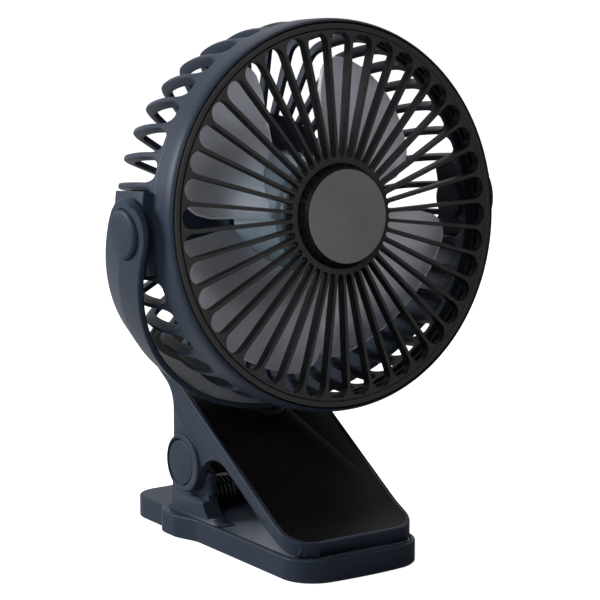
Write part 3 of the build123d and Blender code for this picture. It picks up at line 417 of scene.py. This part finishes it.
def plastic(name, colour, roughness, grain, height, specular=0.4, spread=0.05, vary=0.08,
            transmission=0.0, metallic=0.0, ior=1.5):
    """Moulded surface: two close shades in soft clouds over a fine grain; grain and height in millimetres."""
    material = bpy.data.materials.new(name)
    material.use_nodes = True
    tree = material.node_tree
    tree.nodes.clear()
    place = add_node(tree, "ShaderNodeTexCoord").outputs["Object"]
    clouds = add_node(tree, "ShaderNodeTexNoise", {"Scale": 1 / (CLOUD_SIZE * MM), "Detail": 3.0},
                      {"Vector": place})
    mix = add_node(tree, "ShaderNodeValToRGB", None, {"Fac": clouds.outputs["Fac"]})
    mix.color_ramp.elements[0].position = 0.35
    mix.color_ramp.elements[0].color = scaled(colour, 1 - vary)
    mix.color_ramp.elements[1].position = 0.65
    mix.color_ramp.elements[1].color = scaled(colour, 1 + vary)
    texture = add_node(tree, "ShaderNodeTexNoise", {"Scale": 1 / (grain * MM), "Detail": 2.0},
                       {"Vector": place})
    bump = add_node(tree, "ShaderNodeBump", {"Strength": 0.5, "Distance": height * MM},
                    {"Height": texture.outputs["Fac"]})
    rough = add_node(tree, "ShaderNodeMapRange", {"To Min": roughness - spread, "To Max": roughness + spread},
                     {"Value": clouds.outputs["Fac"]})
    shader = add_node(tree, "ShaderNodeBsdfPrincipled",
                      {"IOR": ior, "Specular IOR Level": specular, "Metallic": metallic,
                       "Transmission Weight": transmission},
                      {"Base Color": mix.outputs["Color"], "Roughness": rough.outputs["Result"],
                       "Normal": bump.outputs["Normal"]})
    add_node(tree, "ShaderNodeOutputMaterial", None, {"Surface": shader.outputs["BSDF"]})
    return material


FINISH = {}             # every finish by its short name, filled by the first operator

SLOT_FINISH = {"slate_shell": "slate", "warm_grey_face": "warm", "gloss_panel": "panel",
               "grey_plate": "plate", "smoke_blade": "blade", "black_rubber": "rubber",
               "spring_steel": "steel", "zinc_steel": "zinc", "motor_can": "can",
               "board_green": "board", "cell_wrap": "film", "lamp_clear": "clear"}


class CLIPFAN_OT_finishes(bpy.types.Operator):
    """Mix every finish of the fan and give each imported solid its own"""
    bl_idname = "clipfan.finishes"
    bl_label = "Finishes"

    def execute(self, context):
        colours = context.scene.clip_fan_colours
        # ABS from a satin tool: soft wide highlights, a barely visible grain
        FINISH["slate"] = plastic("satin_slate_abs", colours.slate, 0.4, 0.5, 0.006, specular=0.1, ior=1.35)
        # ABS from a spark-eroded tool: dull, with a sandy grain drawn a little coarser than the real one
        FINISH["warm"] = plastic("spark_eroded_warm_grey_abs", colours.warm, 0.55, 0.45, 0.03, specular=0.08)
        FINISH["disc"] = plastic("fine_matte_grey_abs", colours.disc, 0.55, 0.4, 0.015, specular=0.15)
        # the same ABS where the tool was left smooth, near-black: painted shade on the walls of the grille's slots
        # and on the band's gap and ledge; the hub cap's side and the button's key use it too
        FINISH["black"] = plastic("black_abs_and_painted_shade", colours.black, 0.4, 0.6, 0.004, specular=0.06)
        # ABS from a polished tool: smooth with a slight waviness, nearly black in the jaw; the plate's grey,
        # lighter than the jaw's slate, is a painted reflection of the bright surroundings on its top
        FINISH["panel"] = plastic("polished_black_abs", colours.panel, 0.3, 5.0, 0.003, specular=0.06)
        FINISH["plate"] = plastic("smooth_abs_painted_reflection_grey", colours.plate, 0.25, 4.0, 0.003, specular=0.4)
        # translucent smoke polypropylene: light passes through it; its edges are painted a little paler, a painted
        # highlight along them
        FINISH["blade"] = plastic("smoke_polypropylene", colours.blade, 0.4, 3.0, 0.003, specular=0.2,
                                  transmission=0.9)
        FINISH["blade_edge"] = plastic("painted_highlight_polypropylene_edge", colours.blade_edge, 0.3, 3.0, 0.002,
                                       transmission=0.5)
        FINISH["hub"] = plastic("gloss_smoke_polypropylene", colours.hub, 0.2, 3.0, 0.003, specular=0.4)
        # silicone rubber: dull and dark
        FINISH["rubber"] = plastic("black_silicone_rubber", linear("#151617"), 0.75, 0.4, 0.03, specular=0.25)
        # blackened spring wire: dark, with sharp highlights along the turns
        FINISH["steel"] = plastic("blackened_spring_steel", linear("#2b2b2d"), 0.25, 0.3, 0.004, metallic=0.9,
                                  spread=0.08)
        # plated steel and the motor's can: bright metal with a fine brushed look
        FINISH["zinc"] = plastic("zinc_plated_steel", linear("#a3a5a8"), 0.32, 0.35, 0.006, metallic=1.0)
        FINISH["can"] = plastic("nickel_plated_can", linear("#b4b5b6"), 0.25, 0.4, 0.004, metallic=1.0)
        # inside pieces: solder mask, the cell's film and the clear light pipe
        FINISH["board"] = plastic("green_solder_mask", linear("#1c5a34"), 0.35, 0.6, 0.01)
        FINISH["film"] = plastic("blue_cell_film", linear("#2a4d86"), 0.3, 2.0, 0.01)
        FINISH["clear"] = plastic("clear_light_pipe", linear("#cfe0ee"), 0.1, 0.6, 0.002, transmission=0.6)
        for entry in frame["record"]["subparts"]:
            solid = frame["nodes"][entry["node"]]
            solid.data.materials.clear()
            solid.data.materials.append(FINISH[SLOT_FINISH[entry["material_slot"]]])
        return {"FINISHED"}


# ------------------------------------------------------------------ head
FIT = 0.1               # mm between pieces that are fitted to each other
GRILLE_DEPTH = 4.0


def teardrop(sizes, turn):
    """Outline of one slot of the grille, turned round the face, in millimetres."""
    wide_r = sizes.slot_outer_r / MM
    tip_r = sizes.slot_inner_r / MM
    tip_at = sizes.slot_tip_at / MM
    wide_at = sizes.slot_wide_at / MM
    tangent = 180 - acos((wide_r - tip_r) / (wide_at - tip_at)) * 180 / pi
    outline = arc(wide_r, -tangent, tangent, 24, wide_at)
    outline += arc(tip_r, tangent, 360 - tangent, 12, tip_at)
    return [(x * cos(turn) - y * sin(turn), x * sin(turn) + y * cos(turn)) for x, y in outline]


def grille_radius(sizes):
    """Outer radius of the grille's face, in millimetres."""
    return (sizes.slot_wide_at + sizes.slot_outer_r + sizes.slot_rim) / MM


class CLIPFAN_OT_front_grille(bpy.types.Operator):
    """Domed grille of thin ribs between teardrop slots"""
    bl_idname = "clipfan.front_grille"
    bl_label = "Front grille"

    def execute(self, context):
        sizes = context.scene.clip_fan_head
        rim_r = grille_radius(sizes)
        hub_r = CAP_HIGH.x + FIT
        face_z = RING_HIGH.z
        dome = GRILLE_HIGH.z - face_z
        step = 2 * pi / sizes.slot_count
        loops = [arc(rim_r, 0, 360, 240)[:-1], arc(hub_r, 0, 360, 160)[:-1]]
        loops += [teardrop(sizes, step * (i + 0.5)) for i in range(sizes.slot_count)]
        piece = flat_plate("front_grille_face", loops, GRILLE_DEPTH, sizes.grille_edge / MM)
        flat_r = rim_r - sizes.slot_rim / MM
        for vertex in piece.data.vertices:
            share = (flat_r - hypot(vertex.co.x, vertex.co.y) / MM) / (flat_r - hub_r)
            vertex.co.z += (face_z + dome * max(0.0, min(1.0, share))) * MM
        # the face is sandy; the walls of the slots and the back are smooth and painted near-black, painted shade
        # in the slots
        paint_faces(piece, (FINISH["warm"], FINISH["black"]), lambda at, normal: int(normal.z < 0.5))
        finished(piece, "head", None, ["front_grille"], place=HEAD)
        return {"FINISHED"}


class CLIPFAN_OT_trim_ring(bpy.types.Operator):
    """Matte trim ring round the face"""
    bl_idname = "clipfan.trim_ring"
    bl_label = "Trim ring"

    def execute(self, context):
        sizes = context.scene.clip_fan_head
        low, high = RING_LOW.z - 1.0, RING_HIGH.z
        inner = grille_radius(sizes) + sizes.trim_gap / MM
        outer = inner + sizes.trim_width / MM
        outline = [(outer, low), (outer, high), (inner, high), (inner, low)]
        piece = round_edges(turned("trim_ring", outline, 240), 0.5)
        finished(piece, "head", FINISH["warm"], ["bezel_ring"], place=HEAD)
        return {"FINISHED"}


class CLIPFAN_OT_front_band(bpy.types.Operator):
    """Smooth band round the head, swelling to its full width, with the ledge behind the grille"""
    bl_idname = "clipfan.front_band"
    bl_label = "Front band"

    def execute(self, context):
        sizes = context.scene.clip_fan_head
        outer = BAND_HIGH.x
        inner = grille_radius(sizes) + (sizes.trim_gap + sizes.trim_width + sizes.band_gap) / MM
        low, high = BAND_LOW.z + sizes.seam / MM, RING_HIGH.z - 0.4
        swell = sizes.band_swell / MM
        lip = 0.3
        count = 8
        edge = []
        for i in range(count + 1):
            turn = radians(90 * i / count)
            edge.append((inner + lip + (outer - inner - lip) * sin(turn),
                         high - lip - swell * (1 - cos(turn))))
        floor = RING_LOW.z - 1.2
        ledge = RING_HIGH.z - 5.0
        ledge_low = ledge - 1.6
        wall = outer - 2.2
        ledge_r = wall - 3.4
        skirt_r = wall - 1.6
        outline = [(inner, high), (inner + lip, high)] + edge
        outline += [(outer, low), (wall, low), (wall, ledge_low), (ledge_r, ledge_low), (ledge_r, ledge),
                    (skirt_r, ledge), (skirt_r, floor), (inner, floor)]
        piece = round_edges(turned("front_band_shell", outline, 240), 0.15, 2, angle=50)
        # the gap beside the trim ring and the ledge behind the grille are smooth and painted near-black, painted
        # shade in the gap and behind the grille
        paint_faces(piece, (FINISH["slate"], FINISH["black"]), lambda at, normal: int(
            hypot(at.x, at.y) < inner - 0.05 or (normal.z > 0.9 and at.z < high - 1)))
        finished(piece, "head", None, ["front_band"], place=HEAD)
        return {"FINISHED"}


class CLIPFAN_OT_hub_cap(bpy.types.Operator):
    """Plain round cap with a matte disc and grip notches round its foot"""
    bl_idname = "clipfan.hub_cap"
    bl_label = "Hub cap"

    def execute(self, context):
        low, high = CAP_LOW.z, CAP_HIGH.z
        foot_r = CAP_HIGH.x
        top_r = foot_r - 1.6
        foot = GRILLE_HIGH.z
        notches = 24
        notch_depth = 1.0
        notch_top = foot + 2.2
        outline = [(0, high), (top_r - 1.0, high), (top_r - 0.35, high - 0.2), (top_r, high - 0.8),
                   (top_r + 0.6, notch_top + 0.5), (top_r + 0.7, notch_top), (foot_r - 0.1, foot + 0.6),
                   (foot_r, foot + 0.3), (foot_r, low), (0, low)]
        piece = turned("hub_cap_shell", outline, notches * 10, closed=False)
        for vertex in piece.data.vertices:
            x, y, z = vertex.co / MM
            if foot + 0.2 < z < notch_top + 0.1:
                wave = max(0.0, cos(notches * atan2(y, x)))
                shrink = 1 - notch_depth * sqrt(wave) / foot_r
                vertex.co.x *= shrink
                vertex.co.y *= shrink
        paint_faces(piece, (FINISH["disc"], FINISH["black"]),
                    lambda at, normal: int(not (normal.z > 0.9 and hypot(at.x, at.y) < top_r - 0.3)))
        finished(piece, "head", None, ["hub_cap"], place=HEAD)
        return {"FINISHED"}


BLADES = 4
BLADE_PHASE = radians(-3.5)
BLADE_SPAN = radians(78)
BLADE_FRONT = 12.5      # mm from the face back to a blade's leading edge
BLADE_DROP = 24.5       # mm that a blade falls back over its span
HUB_SET_BACK = 7.0      # mm from the face back to the hub
HUB_LENGTH = 28.0
HUB_WALL = 1.8
FLARE_START = 3.6       # mm behind the hub's front, where it starts to widen
FLARE_STEPS = 6


def blade(sizes):
    """One broad pitched blade, thin, with rounded corners at its tip."""
    root_r = sizes.hub_r / MM - 1.0
    tip_r = BLADES_HIGH.x
    corner = sizes.blade_corner / MM

    def place(u, v):
        along = min(u, 1 - u) * BLADE_SPAN * tip_r
        drop = max(0.0, corner - along)
        edge_r = tip_r - corner + sqrt(max(0.0, corner ** 2 - drop ** 2))
        radius = root_r + (edge_r - root_r) * v
        turn = BLADE_PHASE - BLADE_SPAN * u
        return radius * cos(turn), radius * sin(turn), RING_HIGH.z - BLADE_FRONT - BLADE_DROP * u

    piece = shaped_grid("impeller_blade", 48, 12, place)
    thick = piece.modifiers.new("thickness", "SOLIDIFY")
    thick.thickness = sizes.blade_thickness
    thick.offset = 0.0
    apply_modifiers(piece)
    return piece


class CLIPFAN_OT_impeller(bpy.types.Operator):
    """Four smoke blades on a stepped gloss hub"""
    bl_idname = "clipfan.impeller"
    bl_label = "Impeller"

    def execute(self, context):
        sizes = context.scene.clip_fan_head
        hub_r = sizes.hub_r / MM
        rear_r = hub_r + sizes.hub_flare / MM
        front = RING_HIGH.z - HUB_SET_BACK
        rear = front - HUB_LENGTH
        flare = [(hub_r + (rear_r - hub_r) * (i / FLARE_STEPS) ** 1.5,
                  front - FLARE_START - (HUB_LENGTH - FLARE_START) * i / FLARE_STEPS)
                 for i in range(FLARE_STEPS + 1)]
        outline = [(0, front), (hub_r - 6, front), (hub_r - 5.6, front - 0.5), (hub_r - 2.4, front - 0.7),
                   (hub_r - 1.2, front - 1.6), (hub_r - 0.8, front - 2.6), *flare,
                   (rear_r - HUB_WALL, rear), (hub_r - HUB_WALL, front - 6), (0, front - 6)]
        hub = round_edges(turned("impeller_hub", outline, 128, closed=False), 0.3, 2)
        apply_modifiers(hub)
        finishes = (FINISH["hub"], FINISH["blade"], FINISH["blade_edge"])
        paint_faces(hub, finishes, lambda at, normal: 0)
        first = blade(sizes)
        # the blades' thin edges take the paler finish, a painted highlight
        paint_faces(first, finishes, lambda at, normal: 1 if abs(normal.z) > 0.5 else 2)
        whole = joined("impeller_wheel", [hub, *repeated(first, BLADES)])
        finished(whole, "rotor", None, ["impeller"], place=HEAD)
        return {"FINISHED"}


SIDE_STEPS = 18
SIDE_CROWDING = 1.6     # how much closer together the stations are near the lip
HOOK_STEPS = 8
HOOK_END = -84          # degrees, where the hook runs into the flat back
RIB_OVERLAP = 2         # mm that a rib reaches into the back disc


def rib_stations(sizes, lip_z, back_z):
    """Places along a hooked rib from the lip to the back disc, with its half width and half depth there."""
    depth = sizes.rib_depth / MM / 2
    width = sizes.rib_width / MM / 2
    flare = sizes.rib_flare / MM
    shoulder = sizes.shoulder_r / MM
    dome_r = sizes.dome_r / MM
    turn_z = -sizes.dome_back / MM
    side = []
    for i in range(SIDE_STEPS + 1):
        z = lip_z + 1 - (lip_z + 1 - turn_z) * (i / SIDE_STEPS) ** SIDE_CROWDING
        side.append((sqrt(dome_r ** 2 - z ** 2) - depth, z))
    lean = -asin(turn_z / dome_r) * 180 / pi
    bend = shoulder - depth
    middle = (side[-1][0] - bend * cos(radians(lean)), turn_z + bend * sin(radians(lean)))
    hook = arc(bend, -lean, HOOK_END, HOOK_STEPS, *middle)[1:]
    path = side + hook + [(sizes.disc_r / MM - RIB_OVERLAP, back_z + depth)]
    stations = []
    for i, (radius, z) in enumerate(path):
        before, after = path[max(i - 1, 0)], path[min(i + 1, len(path) - 1)]
        away = Vector((before[1] - after[1], 0, after[0] - before[0])).normalized()
        near = 1 - min(1.0, max(0.0, lip_z - z) / (sizes.flare_length / MM))
        spread = flare * (1 - sqrt(1 - near ** 2))
        stations.append((Vector((radius, 0, z)), Vector((0, width + spread, 0)), away * depth))
    return stations


class CLIPFAN_OT_rear_cage(bpy.types.Operator):
    """Rear cage: hooked ribs from a lip to a back disc, pivot pads with their bosses, and the hub cup"""
    bl_idname = "clipfan.rear_cage"
    bl_label = "Rear cage"

    def execute(self, context):
        sizes = context.scene.clip_fan_cage
        lip_high = CAGE_HIGH.z + context.scene.clip_fan_head.seam / MM
        lip_z = CAGE_HIGH.z - 1.5
        lip_outer = CAGE_HIGH.y
        dome_r = sizes.dome_r / MM
        rib_r = dome_r - 0.3
        lip_inner = rib_r - sizes.rib_depth / MM
        back_z = CAGE_LOW.z
        outline = [(lip_outer - 0.4, lip_high), (lip_outer, lip_high - 0.4), (lip_outer, lip_z + 1.2),
                   (lip_outer - 0.35, lip_z + 0.35), (lip_outer - 1.2, lip_z), (lip_inner + 0.5, lip_z),
                   (lip_inner, lip_z + 0.5), (lip_inner, lip_high)]
        parts = [turned("cage_lip", outline, 176)]
        rib = rounded_bar("cage_rib", rib_stations(sizes, lip_z, back_z))
        rib.matrix_world = Matrix.Rotation(pi / sizes.rib_count, 4, "Z")
        parts += repeated(rib, sizes.rib_count)
        cup_r = sizes.hub_r / MM
        cup_front = back_z + 17.0
        cup_wall = 2
        shaft_hole_r = 4
        disc_r = sizes.disc_r / MM
        disc_z = back_z + 1.0
        disc_front = disc_z + sizes.disc_thickness / MM
        cup = [(cup_r, back_z), (cup_r, disc_z), (disc_r, disc_z), (disc_r, disc_front), (cup_r, disc_front),
               (cup_r, cup_front), (shaft_hole_r, cup_front), (shaft_hole_r, cup_front - cup_wall),
               (cup_r - cup_wall, cup_front - cup_wall), (cup_r - cup_wall, back_z)]
        parts.append(round_edges(turned("cage_hub_cup", cup, 96), 0.4))

        def pad_place(u, v):
            z = lip_z + 1 - sizes.pad_depth / MM * v
            radius = sqrt(dome_r ** 2 - z ** 2)
            turn = sizes.pad_turn * (u - 0.5)
            return radius * cos(turn), radius * sin(turn), z

        pad = shaped_grid("pivot_pad", 12, 8, pad_place)
        thick = pad.modifiers.new("thickness", "SOLIDIFY")
        thick.thickness = sizes.rib_depth
        thick.offset = -1.0
        round_edges(pad, 0.4)
        apply_modifiers(pad)
        closed_up(pad)
        parts += repeated(pad, 2)
        end = CAGE_HIGH.x
        root = 66
        boss_r, spigot_r, bore_r = 7.5, 4, 1.35
        boss_end, bore_end = end - 3.2, end - 8
        boss = [(0, root), (boss_r, root), (boss_r, boss_end), (spigot_r, boss_end), (spigot_r, end),
                (bore_r, end), (bore_r, bore_end), (0, bore_end)]
        boss = round_edges(turned("pivot_boss", boss, 64, closed=False), 0.3, 2)
        apply_modifiers(boss)
        boss.matrix_world = FACE_RIGHT
        parts += repeated(boss, 2)
        for part in parts:
            apply_modifiers(part)
        cage = joined("rear_cage_ribs", parts)
        finished(cage, "head", FINISH["slate"], ["rear_cage"], smooth=45, place=HEAD)
        return {"FINISHED"}


# ------------------------------------------------------------------ yoke
def cap_outline(radius, low, high, edge, crown):
    """Outline of a puffed round cap: a slightly crowned face and a well rounded rim."""
    rim = arc(edge, 90, 0, 6, radius - edge, high - crown - edge)
    swell = [((radius - edge) * i / 6, high - crown * (i / 6) ** 2) for i in range(6)]
    return swell + rim + [(radius, low), (0, low)]


def yoke_stations():
    """Places along the yoke's curve as (turn, rise above the pivots), from the right end to the left end."""
    ends = [sin(radians(step)) for step in (87, 80, 70, 58, 45, 30, 15, 0)]
    right = [(0.0, rise) for rise in ends]
    curve = [(-pi * i / 72, 0.0) for i in range(1, 72)]
    left = [(-pi, rise) for rise in reversed(ends)]
    return right + curve + left


class CLIPFAN_OT_yoke(bpy.types.Operator):
    """Creased yoke with round arm ends, its swivel pad and the sockets for its caps"""
    bl_idname = "clipfan.yoke"
    bl_label = "Yoke"

    def execute(self, context):
        sizes = context.scene.clip_fan_clip
        inner = RING_HIGH.x + sizes.yoke_gap / MM
        crown_r = YOKE_HIGH.x
        crown = sizes.yoke_crown / MM
        half = sizes.yoke_width / MM / 2
        # shares of the half width across the band, each on its outside (1) or inside (0)
        section = [(1.0, 1), (0.5, 1), (0.05, 1), (-0.05, 1), (-0.5, 1), (-1.0, 1),
                   (-1.0, 0), (0.0, 0), (1.0, 0)]
        stations = yoke_stations()
        last = len(stations) - 1

        def place(u, v):
            across, outside = section[round(u * len(section)) % len(section)]
            turn, rise = stations[round(v * last)]
            depth = across * half * sqrt(1 - rise ** 2)
            radius = crown_r - crown * abs(depth) / half if outside else inner
            return radius * cos(turn), depth, radius * sin(turn) + rise * half

        band = closed_up(shaped_grid("yoke_band", len(section), last, place))
        round_edges(band, sizes.yoke_edge / MM, 3, angle=50)
        apply_modifiers(band)
        pad_low = YOKE_LOW.z
        pad_r, pad_edge, pad_root = 9.6, 0.4, -inner - 0.5
        pad = [(0, pad_root), (pad_r, pad_root), (pad_r, pad_low + pad_edge), (9.2, pad_low), (0, pad_low)]
        band = joined("yoke_band", [band, turned("swivel_pad", pad, 64, closed=False)])
        floor = pad_low + 1.7
        recess_r, bore_r, socket_r, groove_r = 7.6, 4.3, 8.8, 9.4
        recess = [(0, floor), (recess_r, floor), (recess_r, -inner + 5), (0, -inner + 5)]
        bore = [(0, pad_low - 1), (bore_r, pad_low - 1), (bore_r, floor + 1), (0, floor + 1)]
        cutters = [turned("recess", recess, 48, closed=False), turned("bore", bore, 48, closed=False)]
        socket = [(0, crown_r - 1.2), (socket_r, crown_r - 1.2), (socket_r, crown_r - 2.0),
                  (groove_r, crown_r - 2.0), (groove_r, crown_r + 1), (0, crown_r + 1)]
        hole = [(0, inner - 1), (bore_r, inner - 1), (bore_r, crown_r - 1), (0, crown_r - 1)]
        for facing in (FACE_RIGHT, FACE_LEFT):
            for outline in (socket, hole):
                cutter = turned("socket", outline, 96, closed=False)
                cutter.matrix_world = facing
                cutters.append(cutter)
        bpy.context.view_layer.update()
        cut_away(band, *cutters)
        finished(band, "yoke_frame", FINISH["slate"], ["yoke"], place=YOKE)
        return {"FINISHED"}


def pair_of_caps(name, radius, low, high, edge, crown):
    """Round caps on both sides of the middle plane, as one piece."""
    first = turned(name, cap_outline(radius, low, high, edge, crown), 96, closed=False)
    first.matrix_world = FACE_RIGHT
    return joined(name, repeated(first, 2))


class CLIPFAN_OT_round_caps(bpy.types.Operator):
    """Puffed round caps over the tilt pivots and the hinge pin"""
    bl_idname = "clipfan.round_caps"
    bl_label = "Round caps"

    def execute(self, context):
        outer = YOKE_CAP_HIGH.x
        caps = pair_of_caps("yoke_cap_pair", YOKE_CAP_HIGH.z, outer - 2.7, outer, 1.4, 0.6)
        finished(caps, "yoke_frame", FINISH["slate"], ["yoke_caps"], place=YOKE)
        outer = HINGE_CAP_HIGH.x
        radius = HINGE_CAP_HIGH.z - HINGE.z / MM
        caps = pair_of_caps("hinge_cap_pair", radius, outer - 2.3, outer, 0.9, 0.3)
        finished(caps, "lever", FINISH["slate"], ["hinge_caps"], place=HINGE_CAP_PLACE)
        return {"FINISHED"}


# ------------------------------------------------------------------ clip and small pieces
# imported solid, piece, body, slot and finish
SMOOTHED = (
    ("upper_jaw", "upper_jaw_shell", "lever", "slate_shell", "slate"),
    ("upper_jaw_panel", "upper_jaw_gloss_panel", "lever", "gloss_panel", "panel"),
    ("upper_jaw_pad", "upper_jaw_grip", "lever", "black_rubber", "rubber"),
    ("lower_jaw", "lower_jaw_shell", "base", "slate_shell", "slate"),
    ("lower_jaw_plate", "lower_jaw_top_plate", "base", "grey_plate", "plate"),
    ("rear_cover", "rear_cover_disc", "head", "slate_shell", "slate"),
    ("power_button", "power_button_key", "button", "slate_shell", "black"),
)


class CLIPFAN_OT_smooth_pieces(bpy.types.Operator):
    """Jaws, panel, plate, rear cover and button, with their curves shaded smooth"""
    bl_idname = "clipfan.smooth_pieces"
    bl_label = "Jaws and cover"

    def execute(self, context):
        for node, name, body, slot, finish in SMOOTHED:
            finished(copy_of_solid(node, name), body, FINISH[finish], [node])
        return {"FINISHED"}


class CLIPFAN_OT_torsion_spring(bpy.types.Operator):
    """Spring of the clip: its wire copied, shaded smooth and attached to no body"""
    bl_idname = "clipfan.torsion_spring"
    bl_label = "Torsion spring"

    def execute(self, context):
        wire = copy_of_solid("torsion_spring", "torsion_spring_wire")
        finished(wire, None, FINISH["steel"], ["torsion_spring"])
        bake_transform(wire)
        return {"FINISHED"}


# ------------------------------------------------------------------ stage
# name, place and size in metres, and power in watts
LAMPS = (("key", (-0.66, 0.46, 0.42), 0.3, 13.0),
         ("side", (-0.34, -0.24, 0.32), 0.2, 1.1),
         ("top", (0.2, 0.5, 0.9), 0.5, 1.5))
LAMPS_AIM = Vector((0, 0, 0.1))
CAMERA_AT = (-0.5476, -0.8180, 0.2867)
CAMERA_DOWN = 11.05     # degrees below the horizon
CAMERA_ROUND = 34.36    # degrees round the fan from straight ahead
CAMERA_LENS = 157.2     # mm, on a sensor 36 mm wide
FLOOR_SIZE = 6.0
FLOOR_DROP = 0.0002     # keeps the floor clear of the foot
FLOOR_LIFT = 0.95       # what the camera sees added to the paper, towards white
WORLD_LIGHT = 0.08


class CLIPFAN_OT_studio(bpy.types.Operator):
    """Pale floor, white background, soft lamps and the camera"""
    bl_idname = "clipfan.studio"
    bl_label = "Studio"

    def execute(self, context):
        deselect_all()
        bpy.ops.mesh.primitive_plane_add(size=FLOOR_SIZE, location=(0, 0, -FLOOR_DROP))
        floor = bpy.context.object
        floor.name = "studio_floor"
        floor.data.materials.append(paper_floor())
        context.scene.world = white_world()
        for name, at, size, power in LAMPS:
            bpy.ops.object.light_add(type="AREA", location=at)
            lamp = bpy.context.object
            lamp.name = "lamp_" + name
            lamp.data.energy = power
            lamp.data.size = size
            lamp.rotation_euler = (LAMPS_AIM - Vector(at)).to_track_quat("-Z", "Y").to_euler()
        bpy.ops.object.camera_add(location=CAMERA_AT,
                                  rotation=(radians(90 - CAMERA_DOWN), 0, radians(-CAMERA_ROUND)))
        camera = bpy.context.object
        camera.name = "camera"
        camera.data.lens = CAMERA_LENS
        camera.data.sensor_width = 36.0
        camera.data.clip_start = 0.05
        context.scene.camera = camera
        context.scene.view_settings.view_transform = "Standard"
        return {"FINISHED"}


def paper_floor():
    """White paper: matt, lifted to white for the camera where no shadow falls."""
    paper = bpy.data.materials.new("white_paper_floor")
    paper.use_nodes = True
    tree = paper.node_tree
    tree.nodes.clear()
    path = add_node(tree, "ShaderNodeLightPath")
    lift = add_node(tree, "ShaderNodeMapRange", {"To Min": 0.0, "To Max": FLOOR_LIFT},
                    {"Value": path.outputs["Is Camera Ray"]})
    shader = add_node(tree, "ShaderNodeBsdfPrincipled",
                      {"Base Color": linear("#c9c9c9"), "Roughness": 0.9, "Specular IOR Level": 0.1,
                       "Emission Color": (1, 1, 1, 1)}, {"Emission Strength": lift.outputs["Result"]})
    add_node(tree, "ShaderNodeOutputMaterial", None, {"Surface": shader.outputs["BSDF"]})
    return paper


def white_world():
    """White to the camera and in reflections, dimmer as light."""
    world = bpy.data.worlds.new("studio")
    world.use_nodes = True
    tree = world.node_tree
    tree.nodes.clear()
    path = add_node(tree, "ShaderNodeLightPath")
    seen = add_node(tree, "ShaderNodeMath", {"operation": "MAXIMUM"},
                    {0: path.outputs["Is Camera Ray"], 1: path.outputs["Is Glossy Ray"]})
    seen = add_node(tree, "ShaderNodeMath", {"operation": "MAXIMUM"},
                    {0: seen.outputs[0], 1: path.outputs["Is Transmission Ray"]})
    strength = add_node(tree, "ShaderNodeMapRange", {"To Min": WORLD_LIGHT, "To Max": 1.0},
                        {"Value": seen.outputs[0]})
    light = add_node(tree, "ShaderNodeBackground", {"Color": (1, 1, 1, 1)}, {"Strength": strength.outputs[0]})
    add_node(tree, "ShaderNodeOutputWorld", None, {"Surface": light.outputs[0]})
    return world


# ------------------------------------------------------------------ add-on
PIECES = (CLIPFAN_OT_finishes, CLIPFAN_OT_front_grille, CLIPFAN_OT_trim_ring, CLIPFAN_OT_front_band,
          CLIPFAN_OT_hub_cap, CLIPFAN_OT_impeller, CLIPFAN_OT_rear_cage, CLIPFAN_OT_yoke,
          CLIPFAN_OT_round_caps, CLIPFAN_OT_smooth_pieces, CLIPFAN_OT_torsion_spring, CLIPFAN_OT_studio)


class CLIPFAN_PT_panel(bpy.types.Panel):
    """Sizes, colours and pieces of the clip fan"""
    bl_idname = "CLIPFAN_PT_panel"
    bl_label = "Clip fan"
    bl_space_type = "VIEW_3D"
    bl_region_type = "UI"
    bl_category = "Clip fan"

    def draw(self, context):
        scene = context.scene
        for group in (scene.clip_fan_head, scene.clip_fan_cage, scene.clip_fan_clip, scene.clip_fan_colours):
            box = self.layout.box()
            for name in group.__annotations__:
                box.prop(group, name)
        for piece in PIECES:
            self.layout.operator(piece.bl_idname)


CLASSES = (ClipFanHeadSizes, ClipFanCageSizes, ClipFanClipSizes, ClipFanColours, *PIECES, CLIPFAN_PT_panel)


def register():
    """Make the sizes, colours, operators and panel known."""
    for item in CLASSES:
        bpy.utils.register_class(item)
    bpy.types.Scene.clip_fan_head = bpy.props.PointerProperty(type=ClipFanHeadSizes)
    bpy.types.Scene.clip_fan_cage = bpy.props.PointerProperty(type=ClipFanCageSizes)
    bpy.types.Scene.clip_fan_clip = bpy.props.PointerProperty(type=ClipFanClipSizes)
    bpy.types.Scene.clip_fan_colours = bpy.props.PointerProperty(type=ClipFanColours)


def unregister():
    """Take them away again."""
    del bpy.types.Scene.clip_fan_colours
    del bpy.types.Scene.clip_fan_clip
    del bpy.types.Scene.clip_fan_cage
    del bpy.types.Scene.clip_fan_head
    for item in reversed(CLASSES):
        bpy.utils.unregister_class(item)


def main():
    """Build every piece in order."""
    register()
    bpy.ops.clipfan.finishes()
    bpy.ops.clipfan.front_grille()
    bpy.ops.clipfan.trim_ring()
    bpy.ops.clipfan.front_band()
    bpy.ops.clipfan.hub_cap()
    bpy.ops.clipfan.impeller()
    bpy.ops.clipfan.rear_cage()
    bpy.ops.clipfan.yoke()
    bpy.ops.clipfan.round_caps()
    bpy.ops.clipfan.smooth_pieces()
    bpy.ops.clipfan.torsion_spring()
    bpy.ops.clipfan.studio()


if __name__ == "__main__":
    main()
